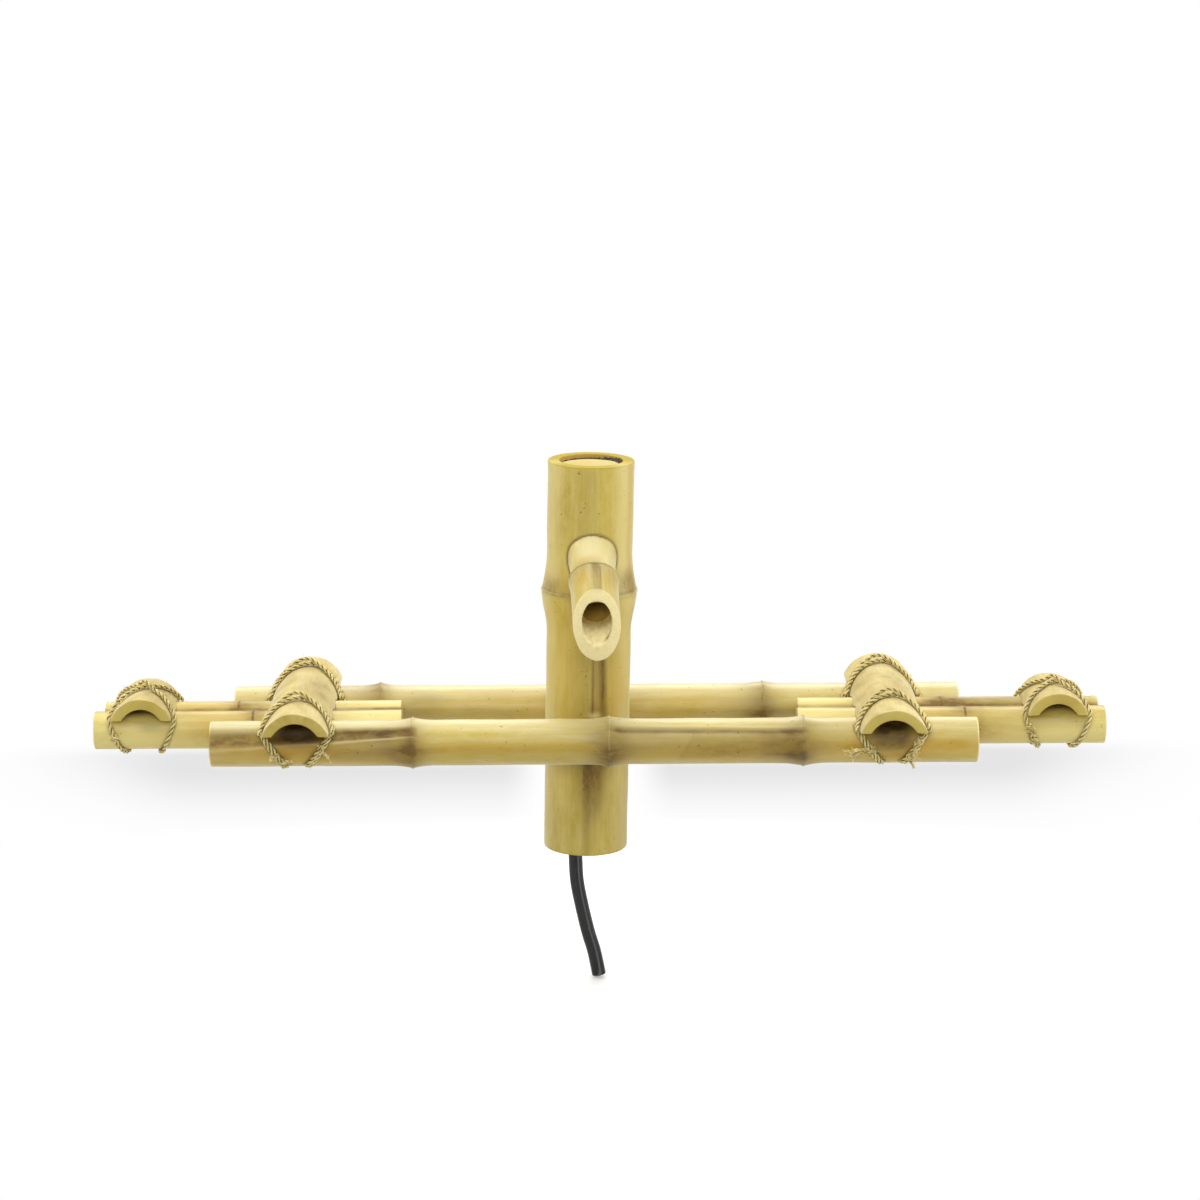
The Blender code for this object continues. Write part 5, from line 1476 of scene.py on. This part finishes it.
def lofted_arch(name, x, arch):
    low, high = arch["span"]
    places = [low, low + 0.0003, low + 0.0009, low + 0.0018]
    places += list(np.arange(low + 0.003, high - 0.0025, ARCH_SPACING))
    places += [high - 0.0018, high - 0.0009, high - 0.0003, high]
    points, faces = [], []
    count = ARCH_STEPS + 1
    ring = 2 * count
    for y in places:
        from_end = min(1.0, min(y - low, high - y) / ARCH_EDGE)
        ease = ARCH_EDGE * (1 - math.sqrt(max(0.0, 1 - (1 - from_end) ** 2)))
        for row in arch_section(arch, ease):
            points += [(x + a, y, arch_centre(arch, y) + b) for a, b in row]
    for a in range(0, (len(places) - 1) * ring, ring):
        b = a + ring
        for i in range(count - 1):
            faces.append((a + i, a + i + 1, b + i + 1, b + i))
            faces.append((a + count + i, b + count + i, b + count + i + 1, a + count + i + 1))
        faces.append((a, b, b + count, a + count))
        faces.append((a + count - 1, b - 1, b + ring - 1, b + count - 1))
    for a in (0, (len(places) - 1) * ring):
        faces += [(a + i, a + i + 1, a + count + i + 1, a + count + i) for i in range(count - 1)]
    piece = new_piece(name, points, faces)
    outward(piece.data)
    return piece


def long_round(name, y, z, radius, sides=96):
    """A closed round bar along X, to cut a seat or a slot with."""
    points = [(x, y + radius * math.cos(2 * math.pi * i / sides),
               z + radius * math.sin(2 * math.pi * i / sides))
              for x in (-0.6, 0.6) for i in range(sides)]
    faces = [(i, (i + 1) % sides, sides + (i + 1) % sides, sides + i) for i in range(sides)]
    piece = new_piece(name, points, faces + [range(sides), range(sides, 2 * sides)])
    outward(piece.data)
    return piece


def cut_away(piece, cutters):
    for cutter in cutters:
        modifier = piece.modifiers.new("cut", "BOOLEAN")
        modifier.operation, modifier.solver, modifier.object = "DIFFERENCE", "EXACT", cutter
    settle(piece)


def finish_arch(piece, x, arch, seed):
    """Uneven surface, marks and kinds of face for one half culm."""
    mesh = piece.data
    points = points_of(mesh)
    low, high = arch["span"]
    y = points[:, 1].copy()
    aside, height = points[:, 0] - x, points[:, 2] - arch_centre(arch, y)
    reach = np.hypot(aside, height)
    outer = np.clip((reach - arch["radius"] + 0.003) / 0.003, 0.0, 1.0)
    grain = np.stack([y, aside, height], axis=1)
    push = 0.00030 * ripple(grain * (0.5, 1, 1), 0.025, seed) * outer / np.maximum(reach, 1e-6)
    points[:, 0] += aside * push
    points[:, 2] += height * push
    local = np.stack([y - (low + high) / 2, -height, aside], axis=1)
    stain = many(smudge, local, (0.0, 0.05, 20, 25, 0.30, seed),
                 (0.04, 0.03, -40, 30, 0.24, seed + 1))
    stain += 0.26 * np.clip(ripple(local * (0.6, 1, 1), 0.017, seed + 3), 0.0, 1.0) * outer
    front_face = np.clip((low + 0.0012 - y) / 0.0008, 0.0, 1.0)
    brown = 0.42 if x == INNER_SADDLES["left"] else 0.16
    stain += front_face * brown * (0.75 + 0.25 * ripple(local, 0.008, seed + 4))
    gold = smudge(local, -0.03, 0.04, 10, 50, 0.30, seed + 2)
    # Painted highlights along the rims at both ends.
    light = 0.3 * outer * bell(np.minimum(np.abs(y - low), np.abs(y - high)), 0.0012)
    paint(mesh, grain + seed * 0.37, (stain, gold, np.zeros(len(points))), points,
          dirt_and_shade_by_ropes(points, seed) * outer, light)

    rows = []
    for face in mesh.polygons:
        spot, across = face.center, abs(face.normal.y)
        away = math.hypot(spot.x - x, spot.z - arch_centre(arch, spot.y))
        rind = away > arch["radius"] - 0.0006 and across < 0.8
        bore = away < arch["radius"] - arch["wall"] + 0.0006 and across < 0.8
        # Seat faces take the dark bore colour: painted shade under the half culm.
        seat = not (rind or bore) and across < 0.95 and face.normal.z < 0.2 and spot.z < 0.03
        rows += [(float(not (rind or bore)), float(bore or seat), 0.0)] * face.loop_total
    keep(mesh, "kind", rows, "CORNER")
    mesh.materials.clear()
    mesh.materials.append(SADDLE_RIND)
    smooth(mesh, 34)
    print(piece.name, "points:", len(mesh.vertices))


# %% The four half culms
main_rounds = [long_round("seat_round", size["y"], size["radius"], size["radius"] + SEAT_SPARE)
               for size in MAIN_POLES.values()]
arm_slots, arm_seats = ([long_round("arm_round", side * ARM_Y, ARM_Z, ARM_RADIUS + spare)
                         for side in (-1, 1)] for spare in (SLOT_SPARE, SEAT_SPARE))
for ring, saddles, arch, cutters, seed in (
        ("inner", INNER_SADDLES, INNER_ARCH, main_rounds + arm_slots, 80),
        ("outer", OUTER_SADDLES, OUTER_ARCH, arm_seats, 90)):
    for number, (hand, x) in enumerate(saddles.items()):
        saddle = lofted_arch(f"{hand}_{ring}_saddle_shown", x, arch)
        cut_away(saddle, cutters)
        finish_arch(saddle, x, arch, seed + 5 * number)
        dress(saddle, "frame" if ring == "inner" else f"{hand}_arm", "saddle_bamboo",
              f"{hand}_{ring}_saddle")
for cutter in main_rounds + arm_slots + arm_seats:
    bpy.data.objects.remove(cutter, do_unlink=True)

# %% [markdown]
# ## Twine
#
# Real twine is two strands twisted round each other. A bumpy tube would look like a cable, so a
# Geometry Nodes tree copies each route once for every strand, winds the copies round the route and
# gives each its own thickness. A second tree makes single fibres, for frayed ends and for the
# short hairs that cover a rope.


# %% Trees for twine and single fibres
def circle_nodes(bench, given):
    return bench.node("GeometryNodeCurvePrimitiveCircle", {
        "Resolution": given["Steps Around"], "Radius": 1.0})


def skin_nodes(bench, given, curve, radius, profile):
    sized = bench.node("GeometryNodeSetCurveRadius", {"Curve": curve, "Radius": radius})
    skin = bench.node("GeometryNodeCurveToMesh", {
        "Curve": sized, "Profile Curve": profile, "Fill Caps": True,
        "Scale": bench.node("GeometryNodeInputRadius")})
    return tree_end(bench, given, skin)


def twine_nodes(bench, given):
    run = bench.node("GeometryNodeSplineParameter", out="Length")
    route = bench.node("GeometryNodeMeshToCurve", {0: given["Route"]})
    copies = bench.wires(bench.make("GeometryNodeDuplicateElements", {
        "Geometry": stored(bench, route, "run", run), "Amount": given["Strands"]}, domain="SPLINE"))
    labelled = stored(bench, copies[0], "strand", copies[1] / given["Strands"])
    strand = named(bench, "strand")
    angle = (run / given["Lay Length"] + strand) * (2 * math.pi)
    normal = bench.node("GeometryNodeInputNormal")
    other = bench.vector("CROSS_PRODUCT", bench.node("GeometryNodeInputTangent"), normal)

    def scaled(vector, factor):
        return bench.node("ShaderNodeVectorMath", {0: vector, "Scale": factor}, operation="SCALE")

    way = bench.vector("ADD", scaled(normal, bench.math("COSINE", angle)),
                       scaled(other, bench.math("SINE", angle)))
    jitter = bench.node("ShaderNodeTexNoise", {"W": strand * 37.0 + run * 260.0, "Scale": 1.0,
                                               "Detail": 3.0}, noise_dimensions="1D")
    wild = given["Uneven"] * ((jitter - 0.5) * 2.0) + 1.0
    wound = bench.node("GeometryNodeSetPosition", {
        "Geometry": labelled, "Offset": scaled(way, given["Twist Radius"] * wild)})
    profile = stored(bench, circle_nodes(bench, given), "around",
                     bench.node("GeometryNodeInputIndex") / given["Steps Around"])
    return skin_nodes(bench, given, wound, wild * given["Strand Radius"], profile)


def fibre_nodes(bench, given):
    route = bench.node("GeometryNodeMeshToCurve", {0: given["Route"]})
    along = bench.node("GeometryNodeSplineParameter", out="Factor")
    taper = bench.node("ShaderNodeMapRange", {0: along, 3: 1.0, 4: given["Tip Share"]})
    return skin_nodes(bench, given, route, taper * given["Root Radius"],
                      circle_nodes(bench, given))


TWINE_TREE = node_group("twisted twine", {
    "Route": "Geometry", "Strands": 2, "Lay Length": 0.0105, "Twist Radius": 0.00088,
    "Strand Radius": 0.00092, "Uneven": 0.22, "Steps Around": 9, "Material": "Material"},
    twine_nodes, "Geometry")
FIBRE_TREE = node_group("single fibres", {
    "Route": "Geometry", "Root Radius": 0.00032, "Tip Share": 0.35, "Steps Around": 5,
    "Material": "Material"}, fibre_nodes, "Geometry")


def route_piece(name, routes):
    """A piece that is only edges: each route as a chain of points."""
    points, edges = [], []
    for route in routes:
        edges += [(len(points) + i, len(points) + i + 1) for i in range(len(route) - 1)]
        points += list(route)
    return new_piece(name, points, edges=edges)


def twisted(name, routes, settings):
    """Twine along some routes, with its depth between the strands kept for the material."""
    piece = route_piece(name, routes)
    mesh = run_tree(piece, TWINE_TREE, {"Material": TWINE, **settings})
    tree = nearness(np.concatenate(routes))
    thick = settings["Twist Radius"] + settings["Strand Radius"]
    depth = np.array([tree.find(p)[2] for p in points_of(mesh)]) / thick
    keep(mesh, "lay", np.stack([kept(mesh, "run"), kept(mesh, "around"), depth], axis=1))
    drop(mesh, "run", "around", "strand")
    outward(mesh)
    smooth(mesh)
    return piece


# %% [markdown]
# The twine's ends are knotted at the holes and frayed. A knot is a few tight turns of thinner
# twine round a leg, with a stub that hangs away from it and ends in a fan of single fibres.

# %% Knots, tails and hairs
def hairs_on(routes, count, draw):
    """Short bent hairs standing off the ropes, as routes of four points."""
    spots = np.concatenate(routes)
    hairs = []
    for _ in range(count):
        i = int(draw.integers(2, len(spots) - 2))
        along = spots[i + 1] - spots[i - 1]
        if np.linalg.norm(along) > 0.01:
            continue
        along /= np.linalg.norm(along)
        out = draw.normal(size=3)
        out -= along * (out @ along)
        out /= np.linalg.norm(out)
        length = draw.uniform(0.0015, 0.0042)
        start = spots[i] + out * ROPE_RADIUS * 0.75
        drift = along * draw.uniform(-1.0, 1.0)
        bend = draw.normal(size=3) * 0.25
        hairs.append([start + (out * 0.75 + drift) * length * s + bend * length * s * s
                      for s in (0.0, 0.33, 0.66, 1.0)])
    return hairs


def frayed(start, way, length, count, spread, draw):
    """A fan of fibres from one place, drooping a little."""
    fan = []
    for _ in range(count):
        aside = draw.normal(size=3) * spread
        reach = length * draw.uniform(0.55, 1.0)
        begin = start + draw.normal(size=3) * 0.0005
        curl = draw.normal(size=3) * 0.26
        fan.append([begin + reach * (s * way + s * s * (aside + curl * s + (0, 0, -0.25)))
                    for s in np.linspace(0.0, 1.0, 7)])
    return fan


def wrap_round(route, at, turns, radius, pitch, draw):
    """A few tight turns of twine round a rope, near one of its points."""
    side, up = (rows[at] for rows in frames_along(route))
    phase = draw.uniform(0, 2 * math.pi)
    return np.array([route[at] + radius * (side * math.cos(2 * math.pi * s + phase)
                                           + up * math.sin(2 * math.pi * s + phase))
                     + np.cross(side, up) * pitch * (s - turns / 2)
                     for s in np.linspace(0.0, turns, int(turns * 18) + 1)])


def fibre_piece(name, routes, body, root_radius, tip_share, steps):
    piece = route_piece(name, routes)
    mesh = run_tree(piece, FIBRE_TREE, {"Material": LOOSE_FIBRE, "Root Radius": root_radius,
                                        "Tip Share": tip_share, "Steps Around": steps})
    outward(mesh)
    smooth(mesh)
    dress(piece, body, "rope")


# %% Ropes with their knots and tails
TWINE_SIZES = {"Strands": 2, "Lay Length": 0.0118, "Twist Radius": 0.00090,
               "Strand Radius": 0.00104, "Uneven": 0.24, "Steps Around": 10}
KNOT_SIZES = {**TWINE_SIZES, "Lay Length": 0.0080, "Twist Radius": 0.00066,
              "Strand Radius": 0.00080}
# For each rope: strand, its end, distance from it, turns, way and length of the tail, fibres
KNOTS = {
    "left_front_lashing": [(0, "start", 0.015, 2.4, (0.9, -0.5, 0.25), 0.008, 14),
                           (1, "start", 0.024, 1.6, (-0.5, -0.7, -0.6), 0.005, 7),
                           (1, "end", 0.034, 1.2, (0.9, -0.4, -0.7), 0.010, 5)],
    "right_front_lashing": [(0, "start", 0.027, 2.6, (-1.0, -0.30, 0.05), 0.017, 34),
                            (1, "start", 0.026, 1.6, (-0.95, -0.42, -0.10), 0.014, 20),
                            (1, "end", 0.037, 2.2, (0.0, -0.42, -1.0), 0.013, 26),
                            (0, "end", 0.018, 2.0, (0.6, -0.6, -0.5), 0.006, 10)],
    "left_outer_lashing": [(0, "start", 0.030, 1.5, (0.8, -0.6, 0.1), 0.008, 5)],
    "right_outer_lashing": [(0, "start", 0.022, 3.2, (-0.6, -0.7, 0.3), 0.007, 12),
                            (0, "start", 0.034, 2.4, (0.5, -0.8, -0.4), 0.008, 12)],
}
STUB_SHARE = 0.62
STUB_DROOP = 0.0015
HAIRS_PER_ROPE = 170
draw = np.random.default_rng(11)
for name, routes in ROPE_ROUTES.items():
    body = name.replace("_outer_lashing", "_arm") if "outer" in name else "frame"
    rope = dress(twisted(f"{name}_shown", routes, TWINE_SIZES), body, "rope", name)
    hairs = hairs_on(routes, HAIRS_PER_ROPE, draw)
    wraps, tails = [], []
    for strand, end, distance, turns, way, length, count in KNOTS.get(name, []):
        route = routes[strand]
        steps = int(distance / ROPE_STEP)
        at = steps if end == "start" else len(route) - 1 - steps
        wraps.append(wrap_round(route, at, turns, ROPE_RADIUS + 0.0011, 0.0025, draw))
        way = np.array(way) / np.linalg.norm(way)
        stub = np.array([wraps[-1][-1] + way * length * s - (0.0, 0.0, STUB_DROOP * s * s)
                         for s in np.linspace(0.0, STUB_SHARE, 12)])
        wraps.append(stub)
        tails += frayed(stub[-2], way, length * 0.50, int(count * 1.4), 0.12, draw)
    if wraps:
        dress(twisted(f"{name}_knots", wraps, KNOT_SIZES), body, "rope")
        fibre_piece(f"{name}_tails", tails, body, 0.00058, 0.45, 6)
    fibre_piece(f"{name}_hairs", hairs, body, 0.00015, 0.4, 5)
    print(name, "rope points:", len(rope.data.vertices), "hairs:", len(hairs))

# %% [markdown]
# ## The post's top
#
# A pale domed disc closes the post's mouth a few millimetres down. It was pressed in off centre,
# and a ragged line of dark crumbs fills the gap behind it. The disc is turned like a culm, and the
# crumbs are small lumps set along an arc by Geometry Nodes.

# %% Top plug
PLUG_RADIUS = 0.0272
PLUG_DOME = 0.0030
PLUG_SINK = 0.0042
PLUG_THICKNESS = 0.011
PLUG_TILT = math.radians(3.0)
NO_NODE = 9.0
plug_low, plug_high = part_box("post_top_plug")


def plug_outline():
    rim = [(-PLUG_THICKNESS, 0.0), (-PLUG_THICKNESS, PLUG_RADIUS - 0.001),
           (-PLUG_THICKNESS + 0.001, PLUG_RADIUS), (-0.006, PLUG_RADIUS)]
    dome = [(PLUG_DOME * math.cos(a), PLUG_RADIUS * math.sin(a))
            for a in np.linspace(math.pi / 2, 0.0, 22)]
    return [(place, radius, SAWN_FACE) for place, radius in rim + dome]


def plug_shape(points, zone):
    edge = off_axis(points) / PLUG_RADIUS
    points[:, 0] += 0.00035 * ripple(points, 0.018, 101) * (1 - edge)
    return push_outward(points, -0.0006 * (0.5 + 0.5 * ripple(points, 0.010, 102)) * edge ** 4)


def plug_marks(points):
    zero = np.zeros(len(points))
    return zero, smudge(points, 0.0, 0.01, 40, 60, 0.25, 103), zero, zero


plug = turned_culm("post_top_plug_shown", plug_outline(), (NO_NODE,), 96, 0.0, 0.01, (0.0, 0.001),
                   SAWN_BAMBOO)
plug_centre = (plug_low + plug_high) / 2
plug_centre.z = (POST_MATRIX @ Vector((POST_LENGTH - PLUG_SINK, 0.0, 0.0))).z
plug_place = Matrix.Translation(plug_centre) @ Matrix.Rotation(-PLUG_TILT, 4, "X") @ POST_TURN
finish_culm(plug, plug_shape, plug_marks, plug_place, 12)
dress(plug, "frame", "cut_bamboo", "post_top_plug")


# %% Crumbs behind the plug
def crumb_nodes(bench, given):
    lump = bench.node("GeometryNodeMeshIcoSphere", {"Radius": 0.0011, "Subdivisions": 2})
    bent = bench.node("ShaderNodeTexNoise", {"Scale": 900.0, "Detail": 2.0}, "Color")
    offset = bench.vector("MULTIPLY", bench.vector("SUBTRACT", bent, (0.5, 0.5, 0.5)),
                          (0.0022, 0.0022, 0.0022))
    ragged = bench.node("GeometryNodeSetPosition", {"Geometry": lump, "Offset": offset})
    size = bench.node("FunctionNodeRandomValue", {
        2: given["Least"], 3: given["Most"], "Seed": given["Seed"]}, 1, data_type="FLOAT")
    turn = bench.node("FunctionNodeRandomValue", {
        0: (0, 0, 0), 1: (6.28, 6.28, 6.28), "Seed": given["Seed"]}, data_type="FLOAT_VECTOR")
    return tree_end(bench, given, bench.node("GeometryNodeInstanceOnPoints", {
        "Points": given["Places"], "Instance": ragged, "Scale": size, "Rotation": turn}))


def crumb_places(count):
    """Places along the far and right side of the plug's edge."""
    spin = np.random.default_rng(23)
    places = []
    for _ in range(count):
        angle = math.radians(spin.triangular(-12, 40, 148))
        full = math.exp(-((math.degrees(angle) - 30) / 45) ** 2) + 0.35
        reach = PLUG_RADIUS + 0.0006 - abs(spin.normal()) * 0.0016 * full
        lift = 0.0003 + abs(spin.normal()) * 0.0008 * full
        places.append(plug_place @ Vector(
            (lift, reach * math.sin(angle), -reach * math.cos(angle))))
    return places


CRUMB_TREE = node_group("crumbs", {
    "Places": "Geometry", "Least": 0.5, "Most": 1.0, "Seed": 5, "Material": "Material"},
    crumb_nodes, "Geometry")
crumbs = new_piece("post_top_crumbs", crumb_places(520))
run_tree(crumbs, CRUMB_TREE, {"Least": 0.45, "Most": 1.45, "Material": DARK_GAP_LUMPS})
dress(crumbs, "frame", "hose")

# %% [markdown]
# ## Hidden pieces
#
# The foot plug, pegs, slats and dowels keep their CAD shapes, which are plain sawn bamboo. A CAD
# mesh must not change its points, but it may carry attributes for the sawn material.

# %% Sawn pieces that stay
for number, name in enumerate(("post_foot_plug", "front_post_peg", "rear_post_peg",
                               "left_guide_slat", "right_guide_slat", "left_arm_dowel",
                               "right_arm_dowel")):
    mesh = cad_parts[name].data
    spots = points_of(mesh)
    keep(mesh, "grain", (spots if "slat" in name else spots[:, (1, 0, 2)]) + number * 0.13)
    for label in ("marks", "touches", "kind"):
        keep(mesh, label, np.zeros((len(spots), 3)))
    mesh.materials.clear()
    mesh.materials.append(SAWN_BAMBOO)

# %% [markdown]
# ## Stage and light
#
# The floor is plain and pale, below the hose's end, and turns white further off. Reflections see a
# bright strip of it to one side, which draws the line of light on the hose. The photograph shows a
# faint shadow close under the poles, so a clear sheet at the rim's level carries that soft shade
# in front of them. It leaves the post clear and can't be seen from below.

# %% Floor
FLOOR_Z = CAD_BOX[0][2] - 0.002
FLOOR_HALF = 6.0
FLOOR_LIFT = 0.20
GLOSSY_WHITE = 0.55
STRIP_FROM, STRIP_TO, STRIP_SOFT = (math.radians(degrees) for degrees in (26.0, 62.0, 7.0))
STRIP_LIGHT = 1.8
WHITE, BLACK = (1.0, 1.0, 1.0), (0.0, 0.0, 0.0)


def pale_floor():
    """Matt paper near the object, fading into plain white further off."""
    piece = new_piece("pale_floor", [(x * FLOOR_HALF, y * FLOOR_HALF, FLOOR_Z) for x, y in (
        (-1, -1), (1, -1), (1, 1), (-1, 1))], [(0, 1, 2, 3)])
    material, bench, whole = new_material("pale floor", "ShaderNodeMixShader")
    rays = bench.wires(bench.make("ShaderNodeLightPath"))
    camera_ray, glossy = rays["Is Camera Ray"], rays["Is Glossy Ray"]
    oval = bench.vector("MULTIPLY", bench.coords(), (1 / 0.80, 1 / 0.42, 0.0))
    away = bench.node("ShaderNodeVectorMath", {0: oval}, "Value", operation="LENGTH")
    paper = bench.node("ShaderNodeBsdfDiffuse", {
        "Color": bench.fade(camera_ray, 0.0, 1.0, 0.62, 0.86)})
    lift = bench.node("ShaderNodeEmission", {"Color": WHITE, "Strength": camera_ray * FLOOR_LIFT})
    x, y, _ = bench.apart(bench.coords())
    turn = bench.math("ARCTAN2", x, y * -1.0)
    strip = bench.fade(turn, STRIP_FROM, STRIP_FROM + STRIP_SOFT) * bench.fade(
        turn, STRIP_TO - STRIP_SOFT, STRIP_TO, 1.0, 0.0)
    white = bench.node("ShaderNodeEmission", {"Color": WHITE, "Strength": bench.most(
        camera_ray, glossy * (strip * STRIP_LIGHT + GLOSSY_WHITE))})
    far = bench.most(bench.fade(away, 0.75, 1.25), strip * glossy)
    bench.fill(whole, {0: far * bench.most(camera_ray, glossy),
                       1: bench.node("ShaderNodeAddShader", {0: paper, 1: lift}), 2: white})
    piece.data.materials.append(material)
    return piece


pale_floor()

# %% Soft shade under the poles
SHADE_LEVEL = -0.0012
SHADE_DEPTH = 0.218
SHADE_REACH = 0.100
SHADE_FRONT = -0.072
ARM_FRONT = -0.026


def ease(share):
    share = np.clip(share, 0.0, 1.0)
    return share * share * (3 - 2 * share)


def shade_sheet():
    xs, ys = np.arange(-0.64, 0.6601, 0.005), np.arange(-0.48, 0.2001, 0.005)
    points = np.array([(x, y, SHADE_LEVEL) for x in xs for y in ys])
    rows = len(ys)
    faces = [(i * rows + j, (i + 1) * rows + j, (i + 1) * rows + j + 1, i * rows + j + 1)
             for i in range(len(xs) - 1) for j in range(rows - 1)]
    piece = new_piece("shade_sheet", points, faces)
    x, y = points[:, 0], points[:, 1]
    aside = np.maximum(0.0, np.maximum(-0.350 - x, x - 0.365))
    past = np.maximum(-0.333 - x, x - 0.344)
    step = ARM_FRONT - SHADE_FRONT
    front = np.maximum(0.0, SHADE_FRONT + step * ease(past / 0.110) - y)
    behind = np.maximum(0.0, y - SHADE_FRONT - step * np.clip(past / 0.006, 0.0, 1.0))
    fall = np.exp(-(front / SHADE_REACH) ** 1.6) * bell(aside, 0.105) * bell(behind, 0.030)
    keep(piece.data, "shade", SHADE_DEPTH * fall * ease((np.abs(x) - 0.036) / 0.040))
    material, bench, mixed = new_material("soft shade", "ShaderNodeMixShader")
    seen = bench.wires(bench.make("ShaderNodeLightPath"))["Is Camera Ray"] * (
        1.0 - bench.node("ShaderNodeNewGeometry", out="Backfacing"))
    bench.fill(mixed, {0: seen * bench.attribute("shade", "Fac"),
                       1: bench.node("ShaderNodeBsdfTransparent"),
                       2: bench.node("ShaderNodeEmission", {"Color": BLACK, "Strength": 0.0})})
    piece.data.materials.append(material)
    return piece


shade_sheet()

# %% [markdown]
# The sky is white to the camera, fainter to reflections and a soft grey as a light. The largest
# lamp stands above, and one above and behind gives the poles their pale upper sheen. A weak one in
# front and two at the sides lighten the post's edges.

# %% Sky and lamps
SKY_LIGHT = 0.22
LAMPS = {  # place, size and power
    "lamp above": ((-0.2, -0.35, 2.3), (2.2, 1.5), 40.0),
    "lamp behind": ((0.2, 1.9, 1.7), (2.4, 1.2), 38.0),
    "lamp in front": ((-0.3, -2.8, 1.5), (1.8, 1.2), 34.0),
    "lamp left": ((-2.1, 0.2, 0.7), (0.8, 1.5), 20.0),
    "lamp right": ((2.1, 0.0, 0.6), (0.8, 1.5), 26.0),
}
LAMP_AIM = Vector((0.0, 0.0, 0.05))

world = bpy.data.worlds.new("white studio")
bpy.context.scene.world = world
bench = cleared(world)
rays = bench.wires(bench.make("ShaderNodeLightPath"))
seen = bench.most(rays["Is Camera Ray"], rays["Is Transmission Ray"])
rest = bench.fade(rays["Is Glossy Ray"], 0.0, 1.0, SKY_LIGHT, GLOSSY_WHITE)
sky = bench.node("ShaderNodeBackground", {"Color": WHITE, "Strength": bench.most(seen, rest)})
bench.make("ShaderNodeOutputWorld", {0: sky})

for name, (place, size, power) in LAMPS.items():
    light = bpy.data.lights.new(name, "AREA")
    light.shape, light.energy = "RECTANGLE", power
    light.size, light.size_y = size
    lamp = linked(name, light)
    lamp.location = place
    lamp.rotation_euler = (LAMP_AIM - Vector(place)).to_track_quat("-Z", "Y").to_euler()
